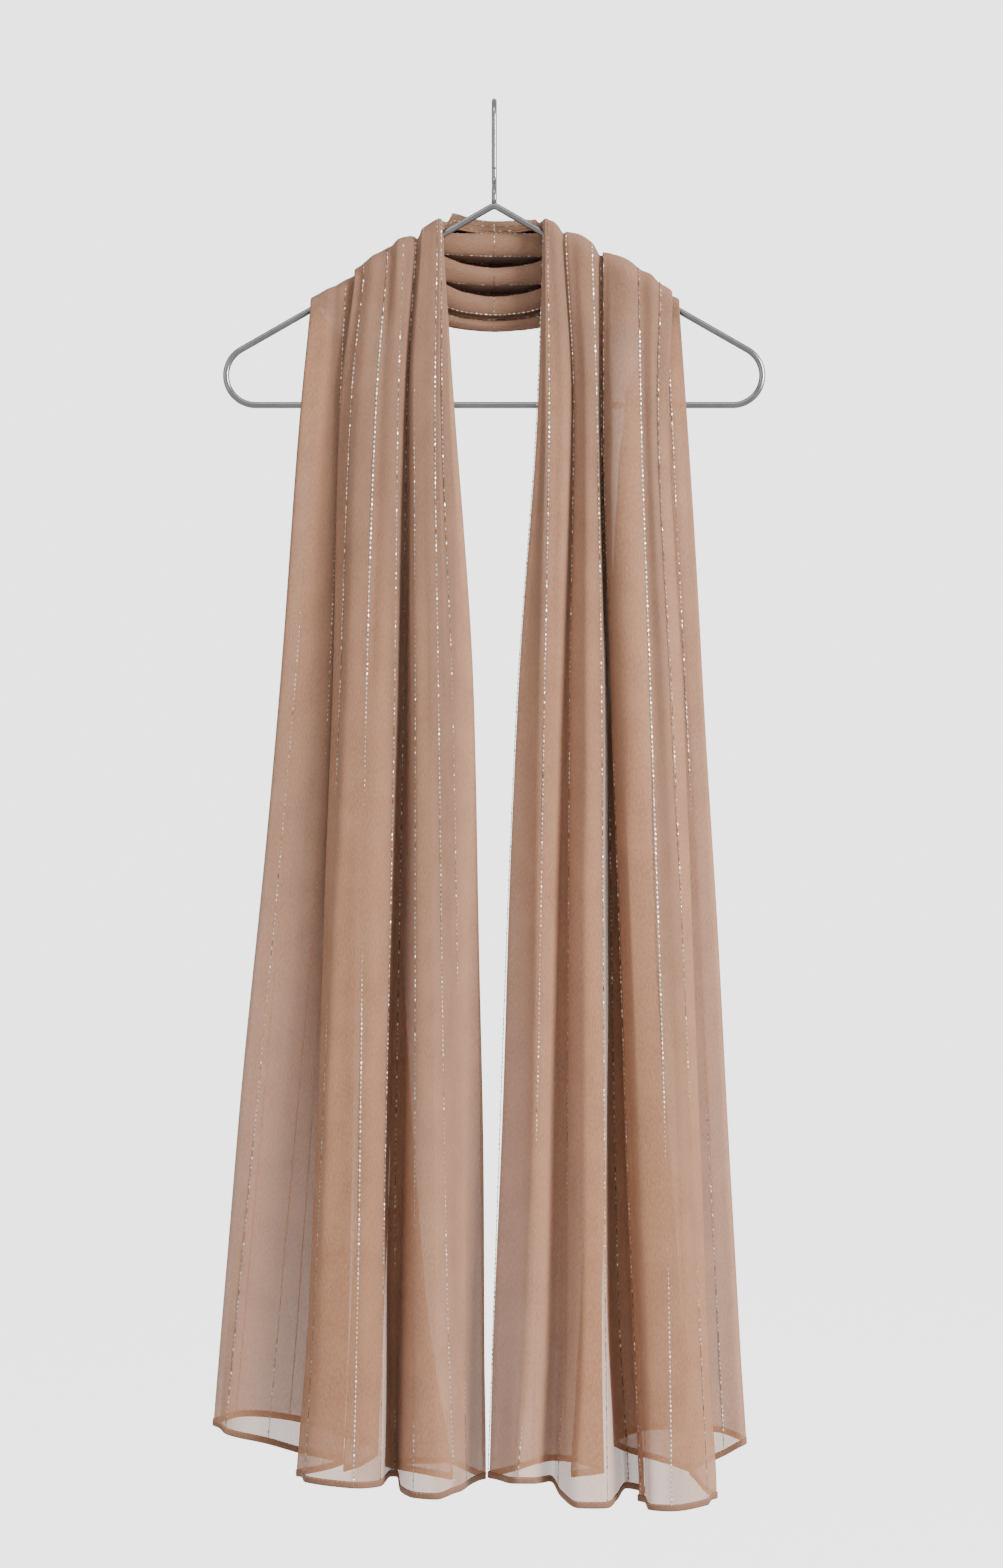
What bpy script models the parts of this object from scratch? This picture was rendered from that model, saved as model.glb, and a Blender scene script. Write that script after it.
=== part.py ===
# Georgette scarf hung as round a neck on a wire hanger.
# Metres, Z up, the front faces -Y. The origin is where the hook bears on its rail.
# Sizes in the tables are millimetres; a drop is measured down from the origin.

import math

import bpy
import numpy as np

MM = 0.001

# Cloth
CLOTH_WIDTH = 730.0      # across the lengthwise threads
CLOTH_WALL = 1.0
HEM_DEPTH = 5.0
HEM_WALL = 1.2
SEAM_GAP = 0.3
TURN_CLOTH = 4.0         # cloth taken up on each side of a fold's turn
FACE_WIDTH = 13.0        # of a face across the cloth, at most about this
LEAST_FACE = 3.5
NEARBY = 0.3             # distance across over which a surface's direction is taken

# Hanger wire
FRAME_WIRE = 4.8
HOOK_WIRE = 3.9
HANGER_WIDTH = 407.8     # over the outsides of the end bends
APEX_DROP = 76.0         # centre of the wire at the top of the frame
ARM_SLOPE = math.radians(29.7)
APEX_BEND = 5.0
BAR_DROP = 226.2
HOOK_INSIDE = 14.0       # radius inside the hook
HOOK_TIP_DROP = 52.0
HOOK_BEND = 10.0         # bends that bring the hook back over the frame
ARC_STEP = 12.5          # degrees of a bend to each straight piece

# Where the falls' sections are given, below the wire that each thread crosses
BAR_STATION = 226.0
UPPER_STATION = 448.0
LOWER_STATION = 899.0
HEM_STATION = 1030.0
OPENING = (0.0, 0.32, 0.82, 1.0)  # how far the flutes have opened at the four stations

# One row for each fold of a fall, from the cloth's inner long edge to its outer one.
# cloth: distance from the inner edge across the threads. turn: 1 or -1 where the cloth turns back
# at its greatest or least X. crown to hem: X at the shoulder wire and the four stations. pile:
# height over the wire's centre. out_bar, out_hem: how far in front of the hanger's plane.
# lap_crown to lap_hem: half the space between a turn's two layers, negative if the next is behind.
FOLD_COLUMNS = ("name", "cloth", "turn", "crown", "bar", "upper", "lower", "hem", "pile",
                "out_bar", "out_hem", "lap_crown", "lap_bar", "lap_hem", "drop")

LEFT_FOLDS = (
    ("inner edge", 0, 0, -39.5, -86, -78, -52, -32, 3.7, 8.6, -16, 0, 0, 0, 1038),
    ("inner turn", 54, 0, -39.3, -66, -74, -80, -83, 5.3, 6.4, -26, 0, 0, 0, 1030),
    ("inner layer", 100, 0, -39.2, -42, -42, -36, -38, 6.8, 6.7, -36, 0, 0, 0, 1030),
    ("c inner side", 130, 1, -38.5, -30, -15.6, -7, -6.2, 8.3, 12, -20, 0, 3, 5, 1038),
    ("c side", 200, 0, -42.5, -44, -41, -34, -29, 12, 19, 38, 0, 0, 0, 1035),
    ("c crest", 220, 0, -48, -52, -48.5, -46, -43, 12.5, 20, 45, 0, 0, 0, 1038),
    ("c face", 237, 0, -53, -59.5, -58.5, -58.5, -59.5, 11.5, 18.5, 40, 0, 0, 0, 1038),
    ("c outer side", 252, 0, -55.4, -63, -63, -66.5, -70, 9.3, 13.5, 15, 0, 0, 0, 1039),
    ("gap b c", 268, 0, -57.7, -64.7, -66.7, -72, -73, 6.9, 9.6, -4, 0, 0, 0, 1033),
    ("b inner side", 284, 0, -60.4, -66.4, -70.4, -79, -78, 9.5, 12.5, -1, 0, 0, 0, 1032),
    ("b side", 310, 0, -68, -71.5, -74, -82.5, -84, 12.8, 18.3, 33, 0, 0, 0, 1031),
    ("b crest", 347, 0, -80, -88, -95, -101, -104, 12, 20, 44, 0, 0, 0, 1030),
    ("b face", 382, 0, -97, -106, -114.5, -133, -140, 11, 18.2, 33, 0, 0, 0, 1028),
    ("b outer side", 400, -1, -105, -115.5, -122, -139, -149, 9.6, 12.4, 1, -0.9, -1.8, -4, 1031),
    ("a b turn", 438, 1, -84, -97, -101, -109, -114, 7.1, 9.5, -8, -0.9, -0.9, -2.5, 1024),
    ("a under", 465, 0, -97, -105, -113, -134, -147, 6.2, 8.6, -11, 0, 0, 0, 1017),
    ("a middle", 492, 0, -111, -115, -124, -160, -172, 6.6, 8.6, -3, 0, 0, 0, 1008),
    ("a face", 529, 0, -126, -133, -150, -192, -205, 7.2, 8.6, 2, 0, 0, 0, 999),
    ("a outer side", 546, -1, -138, -145, -162, -205, -215, 7, 6.9, -6, -0.7, -1.2, -5, 994),
    ("back near", 570, 0, -136.5, -131, -146, -184, -197, 5.95, 4.9, -26, 0, 0, 0, 992),
    ("back middle", 612, 0, -135.8, -113, -114, -138, -148, 5.4, 4.5, -40, 0, 0, 0, 1000),
    ("back far", 660, 0, -135, -99, -88, -92, -99, 4.8, 4.5, -38, 0, 0, 0, 1017),
    ("curl turn", 685, 0, -134.6, -92, -80, -85, -89, 4.4, 5, -22, 0, 0, 0, 1020),
    ("curl front", 708, 0, -134.2, -89, -82, -97, -101, 4.05, 5.8, -13, 0, 0, 0, 1027),
    ("outer edge", 730, 0, -133.8, -86, -88, -107, -114, 3.7, 7.2, -11, 0, 0, 0, 1031),
)

RIGHT_FOLDS = (
    ("inner edge", 0, 0, 37.7, 88, 80, 66, 58.5, 3.7, 7.4, -16, 0, 0, 0, 1036),
    ("inner turn", 40, 0, 37.5, 73, 78, 80, 82.6, 4.8, 6.4, -22, 0, 0, 0, 1034),
    ("inner layer", 100, 0, 37.4, 49, 50, 49.5, 47, 6.4, 6.7, -36, 0, 0, 0, 1028),
    ("d inner side", 164, -1, 36.7, 32.2, 17, -0.2, -4.7, 8.3, 12, -2, 0, 3, 6, 1033),
    ("d crest", 201, 0, 40, 41, 37.5, 27.5, 17, 10.8, 18, 38, 0, 0, 0, 1028),
    ("d face", 212, 0, 44.5, 50, 45.7, 35.6, 29, 11.5, 18, 34, 0, 0, 0, 1029),
    ("d outer side", 222, 0, 49, 57, 50, 40, 36.5, 9.8, 13.5, 18, 0, 0, 0, 1032),
    ("gap d e", 231, 0, 51.7, 58.5, 54, 47.7, 43.5, 7.4, 10.2, 4, 0, 0, 0, 1035),
    ("e inner side", 240, 0, 54.8, 60, 57.8, 56, 49.5, 9.8, 13, 18, 0, 0, 0, 1042),
    ("e crest", 258, 0, 64.5, 69, 69.5, 68, 62, 12.5, 19, 42, 0, 0, 0, 1045),
    ("e face", 274, 0, 73.5, 76.6, 80, 82.5, 84, 12, 17.5, 38, 0, 0, 0, 1046),
    ("e outer side", 288, 0, 76.6, 78.3, 82.4, 85.3, 91.5, 9.5, 13, 14, 0, 0, 0, 1046),
    ("gap e f", 308, 0, 79.6, 79.8, 84.8, 92.3, 99.9, 6.6, 9.2, -10, 0, 0, 0, 1043),
    ("f turn", 327, 1, 84, 86.5, 91.5, 106.6, 113.4, 7.2, 10, -5, 0.9, 0.8, 2.5, 1045),
    ("f inner side", 345, -1, 81.6, 81.2, 87, 102, 107.4, 9.4, 12.6, 12, 0.9, 1.5, 5, 1047),
    ("f face", 362, 0, 89, 87.5, 94.5, 110.5, 114, 12, 19, 38, 0, 0, 0, 1047),
    ("f crest", 383, 0, 108, 109, 116, 129, 130.5, 13, 20, 44, 0, 0, 0, 1047),
    ("f side", 420, 0, 124.7, 122.5, 132.5, 152, 158, 11.5, 17.8, 33, 0, 0, 0, 1045),
    ("f outer side", 434, 1, 133.7, 131, 142, 159, 166.8, 9.6, 12.4, 12, -0.9, -1.8, -4, 1045),
    ("f g turn", 462, -1, 118.7, 115.7, 126, 141, 147, 7.1, 9.5, 0, -0.9, -0.95, -2.5, 1030),
    ("g face", 493, 0, 129, 132.6, 144, 167.5, 174.3, 6.6, 8.6, -5, 0, 0, 0, 1017),
    ("g outer side", 511, 1, 139, 143.9, 157.5, 184, 191.6, 7, 6.9, -7, -0.7, -1.2, -4, 1008),
    ("back near", 535, 0, 137.5, 132, 142.7, 163.8, 170, 5.95, 4.9, -27, 0, 0, 0, 1004),
    ("back middle", 590, 0, 136.6, 112, 106, 117, 121, 5.3, 4.3, -40, 0, 0, 0, 1005),
    ("back turn", 640, 0, 135.8, 100, 91, 88, 92, 4.7, 5.4, -28, 0, 0, 0, 1014),
    ("curl", 700, 0, 134.7, 98, 99, 128, 136, 4.05, 8.2, -14, 0, 0, 0, 1027),
    ("outer edge", 730, 0, 134.2, 98, 109, 140, 149, 3.7, 10.2, -9, 0, 0, 0, 1031),
)

# One row for each fold of the neck stretch, from the top down. cloth: where it lies in the cloth
# across the window. left, right: where it lies in the cloth close behind each shoulder wire.
# back and drop: its place in the middle. side: how far from the middle its place behind a fall's
# inner edge is. side_back: how far back that is. rise_left, rise_right: how much higher it is than
# the middle. leave: angle round the shoulder wire, in degrees from its front, at which the thread
# leaves the wire. HALF_WAY and HALF_RISE: a place between the middle and the side, and the part of
# the rise reached there. BEHIND_WIRE and FURTHER_ON: part of the way to the side gone across, back
# and down there.
HALF_WAY = 0.5
HALF_RISE = 0.28
BEHIND_WIRE = (0.05, 0.025, 0.13)
FURTHER_ON = (0.54, 0.72, 0.44)
NECK_COLUMNS = ("name", "cloth", "left", "right", "back", "drop", "side_back", "side",
                "rise_left", "rise_right", "leave")
NECK_FOLDS = (
    ("inner edge", 0, 0, 0, 12, 95, 10.2, 29, 3.1, 2.4, 104),
    ("top face", 60, 55, 65, 11.5, 89.5, 10, 30, 4.4, 1.7, 104),
    ("top roll", 110, 95, 118, 17, 84.7, 15, 31, 5.8, 1, 104),
    ("top back", 150, 132, 164, 32, 87.5, 24, 32, 4.2, 2, 104),
    ("first roll top", 182, 185, 190, 42, 94.5, 33, 33, 3.6, 2.6, 106),
    ("first roll foot", 200, 208, 204, 42, 99, 33, 34, 3.6, 2.6, 106),
    ("over band one", 225, 238, 218, 20, 103, 17, 38, 3.1, 3.1, 112),
    ("band one top", 238, 252, 226, 9, 95.7, 8.5, 44, 0.6, 0.2, 114),
    ("band one face", 255, 266, 240, 5, 104.7, 5, 44, 1.4, 0.4, 115),
    ("band one foot", 272, 280, 300, 9, 112.3, 8.5, 44, 2.2, -0.2, 115),
    ("under band one", 300, 300, 322, 26, 114, 22, 44, 4.8, 1.6, 118),
    ("second roll top", 338, 342, 380, 42, 115.8, 35, 44, 4.8, 2.8, 120),
    ("second roll foot", 356, 362, 402, 42, 119.6, 35, 44, 4.8, 3.4, 124),
    ("over band two", 400, 404, 438, 22, 121.8, 19, 44, 6.8, 4.8, 128),
    ("band two top", 421, 424, 450, 10, 121.4, 9.5, 44, 9.8, 6.6, 130),
    ("band two face", 438, 438, 462, 6, 127.6, 6, 44, 6.6, 4.3, 132),
    ("band two foot", 455, 456, 474, 10, 134, 9.5, 44, 3.3, 1.6, 134),
    ("under band two", 475, 475, 486, 24, 135.6, 21, 44, 5.4, 3.5, 136),
    ("third roll top", 503, 503, 500, 36, 137.4, 30, 44, 5.6, 4.2, 139),
    ("third roll foot", 521, 521, 516, 36, 141, 30, 44, 6, 4.8, 141),
    ("over band three", 550, 550, 545, 22, 143.4, 20, 44, 8.2, 6.3, 145),
    ("band three top", 568, 568, 566, 10.5, 143, 10, 44, 11, 8.2, 147),
    ("band three face", 585, 585, 585, 6.5, 150.5, 6.5, 44, 9.2, 7.3, 150),
    ("band three foot", 602, 602, 602, 9.5, 156.8, 9.5, 44, 7.4, 6.4, 150),
    ("fourth roll top", 628, 628, 628, 17, 158.2, 15, 44, 7, 6.1, 150),
    ("fourth roll foot", 650, 650, 650, 17, 160.6, 15, 44, 6.8, 5.9, 150),
    ("band four top", 676, 676, 676, 12, 161.4, 11, 44, 6.3, 5.6, 150),
    ("band four face", 696, 696, 696, 8, 164.8, 8, 44, 5.8, 5, 150),
    ("band four foot", 712, 712, 712, 12, 168.8, 12, 44, 5.4, 4.5, 150),
    ("outer edge", 730, 730, 730, 24, 167, 22, 44, 5.4, 4.5, 150),
)


def table(names, rows):
    """The rows as one array for each named column."""
    return {name: np.array([row[i] for row in rows], dtype=float)
            for i, name in enumerate(names) if name != "name"}


def smooth(knots, values, query):
    """Cubic curve through values at knots that never overshoots them.

    knots and values have one column for each curve; query has the same columns.
    """
    step = np.diff(knots, axis=0)
    slope = np.diff(values, axis=0) / step
    near = 2 * step[1:] + step[:-1]
    far = step[1:] + 2 * step[:-1]
    together = slope[:-1] * slope[1:] > 0
    before = np.where(together, slope[:-1], 1.0)
    after = np.where(together, slope[1:], 1.0)
    inner = np.where(together, (near + far) / (near / before + far / after), 0.0)
    slopes = np.concatenate([slope[:1], inner, slope[-1:]])
    place = (query[:, None, :] >= knots[None, 1:-1, :]).sum(axis=1)
    column = np.arange(knots.shape[1])[None, :]
    width = step[place, column]
    t = np.clip((query - knots[place, column]) / width, 0.0, 1.0)
    low, high = values[place, column], values[place + 1, column]
    rise, fall = slopes[place, column] * width, slopes[place + 1, column] * width
    return (low * (1 + 2 * t) * (1 - t) ** 2 + rise * t * (1 - t) ** 2
            + high * t * t * (3 - 2 * t) - fall * t * t * (1 - t))


def across(knots, values, cloth):
    """Values given at knots across the cloth, read at the places in cloth."""
    values = np.asarray(values, dtype=float)
    return smooth(knots[:, None], values[:, None], np.asarray(cloth, dtype=float)[:, None])[:, 0]


def with_turns(folds, places, depths, laps):
    """Knots across the cloth with three points at each open turn: before, on and after it."""
    cloth, x, out = [], [], []
    for i, turn in enumerate(folds["turn"]):
        for side in (-1, 0, 1) if turn * laps[i] else (0,):
            cloth.append(folds["cloth"][i] + side * TURN_CLOTH)
            x.append(places[i] - turn * abs(side * laps[i]))
            out.append(depths[i] + side * laps[i])
    return np.array(cloth), np.array(x), np.array(out)


def arm_drop(x):
    """Drop of the shoulder wire's centre at X."""
    return APEX_DROP + math.tan(ARM_SLOPE) * np.abs(x)


def fall_stations(folds, cloth):
    """X, forward distance and drop of each thread at the crown and at the four stations."""
    knots, x, out = with_turns(folds, folds["crown"], folds["pile"], folds["lap_crown"])
    places, depths = [across(knots, x, cloth)], [across(knots, out, cloth)]
    for name, opened in zip(("bar", "upper", "lower", "hem"), OPENING):
        depth = folds["out_bar"] + (folds["out_hem"] - folds["out_bar"]) * opened
        lap = folds["lap_bar"] + (folds["lap_hem"] - folds["lap_bar"]) * opened
        knots, x, out = with_turns(folds, folds[name], depth, lap)
        places.append(across(knots, x, cloth))
        depths.append(across(knots, out, cloth))
    level = np.ones_like(places[0])
    drops = [arm_drop(places[0])]
    drops += [level * drop for drop in (BAR_STATION, UPPER_STATION, LOWER_STATION, HEM_STATION)]
    return np.array(places), np.array(depths), np.array(drops)


def fall_rows(folds, cloth, fractions, trim):
    """Points of a fall: rows from the shoulder wire (0) to its lower edge (1), trimmed off."""
    places, depths, drops = fall_stations(folds, cloth)
    low = across(folds["cloth"], folds["drop"], cloth) - trim
    drop = drops[0] + (low - drops[0]) * np.asarray(fractions)[:, None]
    x = smooth(drops, places, drop)
    out = smooth(drops, depths, drop)
    return np.stack([x, -out, -drop], axis=2)


def wrap_rows(folds, cloth, angles, gap):
    """Points round the shoulder wire, at angles from its front; gap moves the top ones back."""
    places, depths, drops = fall_stations(folds, cloth)
    angle = np.radians(np.broadcast_to(angles, (len(angles), len(cloth))))
    y = gap * np.sin(angle) - depths[0] * np.cos(angle)
    z = depths[0] / math.cos(ARM_SLOPE) * np.sin(angle) - drops[0]
    return np.stack([np.broadcast_to(places[0], y.shape), y, z], axis=2)


def neck_place(neck, knots, cloth, side, way, raised):
    """Points a part of the way to the side: side is -1 on the left and 1 on the right."""
    rise = neck["rise_left"] if side < 0 else neck["rise_right"]
    x = across(knots, side * way * neck["side"], cloth)
    back = across(knots, neck["back"] + (neck["side_back"] - neck["back"]) * way * way, cloth)
    drop = across(knots, neck["drop"] - rise * raised, cloth)
    return np.stack([x, back, -drop], axis=1)


def neck_stations(left, right, neck, cloth):
    """Points that every thread passes, from the top of the left wire to that of the right one."""
    leave = across(neck["cloth"], neck["leave"], cloth)
    angles = np.stack([np.full_like(leave, 90), (leave + 90) / 2, leave])
    ends, behind, further, sides, halves = [], [], [], [], []
    for folds, side, name in ((left, -1, "left"), (right, 1, "right")):
        end = wrap_rows(folds, cloth, angles, SEAM_GAP / 2)
        beside = neck_place(neck, neck[name], cloth, side, 1, 1)
        ends.append(end)
        behind.append(end[-1] + (beside - end[-1]) * BEHIND_WIRE)
        further.append(end[-1] + (beside - end[-1]) * FURTHER_ON)
        sides.append(neck_place(neck, neck["cloth"], cloth, side, 1, 1))
        halves.append(neck_place(neck, neck["cloth"], cloth, side, HALF_WAY, HALF_RISE))
    inner = [behind[0], further[0], sides[0], halves[0]]
    inner += [neck_place(neck, neck["cloth"], cloth, 1, 0, 0)]
    inner += [halves[1], sides[1], further[1], behind[1]]
    return np.concatenate([ends[0], np.stack(inner), ends[1][::-1]])


def neck_grid(left, right, neck, cloth, places):
    """Rows along the neck stretch; the whole part of a place counts the stations before it."""
    stations = neck_stations(left, right, neck, cloth)
    length = np.linalg.norm(np.diff(stations, axis=0), axis=2)
    along = np.concatenate([np.zeros((1, len(cloth))), np.cumsum(length, axis=0)])
    whole = np.minimum(np.floor(places).astype(int), len(length) - 1)
    query = along[whole] + length[whole] * (np.asarray(places) - whole)[:, None]
    return np.stack([smooth(along, stations[:, :, axis], query) for axis in range(3)], axis=2)


def cloth_samples(*knot_lists):
    """Where the cloth's width is cut into faces: the knots, and between those far apart."""
    knots = np.unique(np.concatenate(knot_lists))
    kept = [knots[0]]
    for knot in knots[1:]:
        if knot - kept[-1] < LEAST_FACE and knot < CLOTH_WIDTH:
            continue
        kept.append(knot)
    samples = [0.0]
    for low, high in zip(kept[:-1], kept[1:]):
        parts = max(1, round((high - low) / FACE_WIDTH))
        samples += [low + (high - low) * (i + 1) / parts for i in range(parts)]
    return np.array(samples)


def normals_of(grid, ahead, behind, first, last):
    """Unit normals; ahead and behind are the rows a little further across and a little less far.

    first and last are the directions in which the threads cross the grid's two ends.
    """
    along = np.gradient(grid, axis=0)
    along[0] = first
    along[-1] = last
    normal = np.cross(ahead - behind, along)
    return normal / np.linalg.norm(normal, axis=2)[:, :, None]


def wall(name, rows, cloth, thickness, first, last, finish):
    """A solid wall of cloth on the surface that rows(cloth) gives."""
    grid = rows(cloth)
    ahead = rows(np.minimum(cloth + NEARBY, CLOTH_WIDTH))
    behind = rows(np.maximum(cloth - NEARBY, 0))
    normal = normals_of(grid, ahead, behind, first, last)
    return place(name, wall_mesh(name, grid, normal, thickness), finish)


def wall_mesh(name, grid, normal, thickness):
    """A closed wall on both sides of a grid of points, as a mesh in metres."""
    rows, count = grid.shape[:2]
    outer = (grid + normal * thickness / 2).reshape(-1, 3)
    inner = (grid - normal * thickness / 2).reshape(-1, 3)
    points = np.concatenate([outer, inner]) * MM
    index = np.arange(rows * count).reshape(rows, count)
    back = index + rows * count
    faces = []

    def add(*corners):
        faces.extend(np.stack([corner.ravel() for corner in corners], axis=1).tolist())

    add(index[:-1, :-1], index[:-1, 1:], index[1:, 1:], index[1:, :-1])
    add(back[:-1, :-1], back[1:, :-1], back[1:, 1:], back[:-1, 1:])
    add(index[0, 1:], index[0, :-1], back[0, :-1])
    add(index[0, 1:], back[0, :-1], back[0, 1:])
    add(index[-1, 1:], back[-1, 1:], back[-1, :-1])
    add(index[-1, 1:], back[-1, :-1], index[-1, :-1])
    for edge, other in ((index[::-1, 0], back[::-1, 0]), (index[:, -1], back[:, -1])):
        add(edge[1:], edge[:-1], other[:-1], other[1:])
    mesh = bpy.data.meshes.new(name)
    mesh.from_pydata(points.tolist(), [], faces)
    mesh.validate()
    return mesh


def material(name, colour, roughness, metallic):
    made = bpy.data.materials.new(name)
    made.use_nodes = True
    shader = made.node_tree.nodes["Principled BSDF"]
    shader.inputs["Base Color"].default_value = (*colour, 1.0)
    shader.inputs["Roughness"].default_value = roughness
    shader.inputs["Metallic"].default_value = metallic
    return made


def place(name, data, finish):
    made = bpy.data.objects.new(name, data)
    data.materials.append(finish)
    bpy.context.scene.collection.objects.link(made)
    return made


# Rows over the shoulder wire, in degrees from its front, down a fall and along the neck
WRAP_ANGLES = (90, 62, 31)
FALL_FRACTIONS = (0, 0.03, 0.07, 0.12, 0.18, 0.25, 0.33, 0.42, 0.52, 0.62, 0.72, 0.81, 0.89, 0.95, 1)
NECK_PLACES = (0, 1, 2, 3, 3.5, 4, 4.5, 5, 5.5, 6, 6.5, 7,
               7.5, 8, 8.5, 9, 9.5, 10, 10.5, 11, 12, 13, 14)

# Points between the bends, as parts of the way from the middle to the frame's end
ARM_PARTS = (0.3, 0.6)
BAR_PARTS = (0.4, 0, -0.4)

DOWN = (0.0, 0.0, -1.0)
BACKWARD = (0.0, 1.0, 0.0)
FORWARD = (0.0, -1.0, 0.0)


def fold_knots(folds):
    return with_turns(folds, folds["hem"], folds["out_hem"], folds["lap_hem"])[0]


def turn_knots(folds):
    """Places before, on and after each turn that stays open on the shoulder wire."""
    turns = folds["cloth"][folds["lap_crown"] != 0]
    return np.concatenate([turns + side * TURN_CLOTH for side in (-1, 0, 1)])


def make_fall(name, folds, finish):
    """From the top of the shoulder wire, over it and down to the turned hem."""
    angles = np.array(WRAP_ANGLES, dtype=float)[:, None]

    def rows(cloth):
        over = wrap_rows(folds, cloth, angles, -SEAM_GAP / 2)
        down = fall_rows(folds, cloth, FALL_FRACTIONS, HEM_DEPTH + SEAM_GAP)
        return np.concatenate([over, down])

    return wall(name, rows, cloth_samples(fold_knots(folds)), CLOTH_WALL, FORWARD, DOWN, finish)


def make_hem(name, folds, finish):
    def rows(cloth):
        return np.stack([fall_rows(folds, cloth, [1.0], trim)[0] for trim in (HEM_DEPTH, 0)])

    return wall(name, rows, cloth_samples(fold_knots(folds)), HEM_WALL, DOWN, DOWN, finish)


def make_neck(name, left, right, neck, finish):
    """Behind the hanger, from the top of one shoulder wire to the top of the other."""
    def rows(cloth):
        return neck_grid(left, right, neck, cloth, NECK_PLACES)

    cloth = cloth_samples(neck["cloth"], turn_knots(left), turn_knots(right))
    return wall(name, rows, cloth, CLOTH_WALL, BACKWARD, FORWARD, finish)


def arc(centre, radius, first, last):
    """Points on an arc, angles in degrees."""
    count = round(abs(last - first) / ARC_STEP) + 1
    angles = np.radians(np.linspace(first, last, count))
    return [(centre[0] + radius * math.cos(a), centre[1] + radius * math.sin(a)) for a in angles]


def wire(name, points, diameter, closed, finish):
    """A round wire along points in metres."""
    curve = bpy.data.curves.new(name, "CURVE")
    curve.dimensions = "3D"
    curve.bevel_depth = diameter / 2
    curve.bevel_resolution = 2
    curve.use_fill_caps = not closed
    spline = curve.splines.new("POLY")
    spline.points.add(len(points) - 1)
    for point, at in zip(spline.points, points):
        point.co = (*at, 1.0)
    spline.use_cyclic_u = closed
    return place(name, curve, finish)


def make_frame(finish):
    """Two arms from the apex, an end bend each, and the bottom bar."""
    slope = math.degrees(ARM_SLOPE)
    half = (HANGER_WIDTH - FRAME_WIRE) / 2
    bend = (BAR_DROP - APEX_DROP - math.tan(ARM_SLOPE) * half) * math.cos(ARM_SLOPE)
    bend /= 1 + math.cos(ARM_SLOPE) - math.sin(ARM_SLOPE)
    centre = (half - bend, bend - BAR_DROP)
    apex = (0.0, -APEX_DROP - APEX_BEND / math.cos(ARM_SLOPE))
    outline = arc(apex, APEX_BEND, 90 + slope, 90 - slope)
    outline += [(half * part, -arm_drop(half * part)) for part in ARM_PARTS]
    outline += arc(centre, bend, 90 - slope, -90)
    outline += [(half * part, -BAR_DROP) for part in BAR_PARTS]
    outline += arc((-centre[0], centre[1]), bend, -90, -270 + slope)
    outline += [(-half * part, -arm_drop(half * part)) for part in ARM_PARTS[::-1]]
    return wire("hanger_frame", [(x * MM, 0.0, z * MM) for x, z in outline],
                FRAME_WIRE * MM, True, finish)


def make_hook(finish):
    """The stem rises from the apex, bends back, goes over the rail and comes down in front."""
    reach = HOOK_INSIDE + HOOK_WIRE / 2
    top = HOOK_WIRE / 2 - reach
    crown = -APEX_DROP - APEX_BEND / math.cos(ARM_SLOPE) + APEX_BEND
    foot = crown + FRAME_WIRE / 2 + SEAM_GAP
    half_bend = math.degrees(math.acos(1 - reach / 2 / HOOK_BEND))
    side = arc((HOOK_BEND, foot + HOOK_WIRE), HOOK_BEND, 180, 180 - half_bend)
    turn = side[-1]
    side += [(reach - y, 2 * turn[1] - z) for y, z in side[-2::-1]]
    side += arc((0.0, top), reach, 0, 180)
    path = [(0.0, foot)] + side + [(-reach, -HOOK_TIP_DROP)]
    return wire("hanger_hook", [(0.0, y * MM, z * MM) for y, z in path],
                HOOK_WIRE * MM, False, finish)


def main():
    for old in list(bpy.data.objects):
        bpy.data.objects.remove(old, do_unlink=True)
    georgette = material("georgette", (0.52, 0.33, 0.24), 0.8, 0.0)
    hem_cloth = material("hem_cloth", (0.40, 0.25, 0.18), 0.8, 0.0)
    steel = material("bright_steel", (0.62, 0.62, 0.63), 0.22, 1.0)
    left = table(FOLD_COLUMNS, LEFT_FOLDS)
    right = table(FOLD_COLUMNS, RIGHT_FOLDS)
    neck = table(NECK_COLUMNS, NECK_FOLDS)
    make_frame(steel)
    make_hook(steel)
    make_neck("scarf_neck", left, right, neck, georgette)
    make_fall("scarf_left_fall", left, georgette)
    make_fall("scarf_right_fall", right, georgette)
    make_hem("hem_left", left, hem_cloth)
    make_hem("hem_right", right, hem_cloth)


main()
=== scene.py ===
# Georgette scarf on a wire hanger: the fine cloth, its metallic threads and sewing, the bright
# wire, the finishes, the floor, the light and the camera. Tables are in millimetres.
import math

import bpy
import numpy as np
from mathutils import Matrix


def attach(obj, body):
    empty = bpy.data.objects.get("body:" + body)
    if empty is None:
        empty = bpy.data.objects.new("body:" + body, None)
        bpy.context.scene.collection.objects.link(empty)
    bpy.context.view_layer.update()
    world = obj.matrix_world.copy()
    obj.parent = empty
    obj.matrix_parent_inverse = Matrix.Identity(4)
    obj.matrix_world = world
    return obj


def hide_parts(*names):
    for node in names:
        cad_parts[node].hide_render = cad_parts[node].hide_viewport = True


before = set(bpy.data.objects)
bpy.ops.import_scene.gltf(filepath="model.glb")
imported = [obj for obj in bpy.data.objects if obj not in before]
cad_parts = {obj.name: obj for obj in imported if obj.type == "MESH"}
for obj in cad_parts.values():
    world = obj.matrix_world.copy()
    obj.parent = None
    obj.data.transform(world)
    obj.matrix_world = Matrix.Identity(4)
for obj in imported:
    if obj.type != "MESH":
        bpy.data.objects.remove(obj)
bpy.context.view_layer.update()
print("scarf: frame loaded")

mm = 0.001

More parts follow.
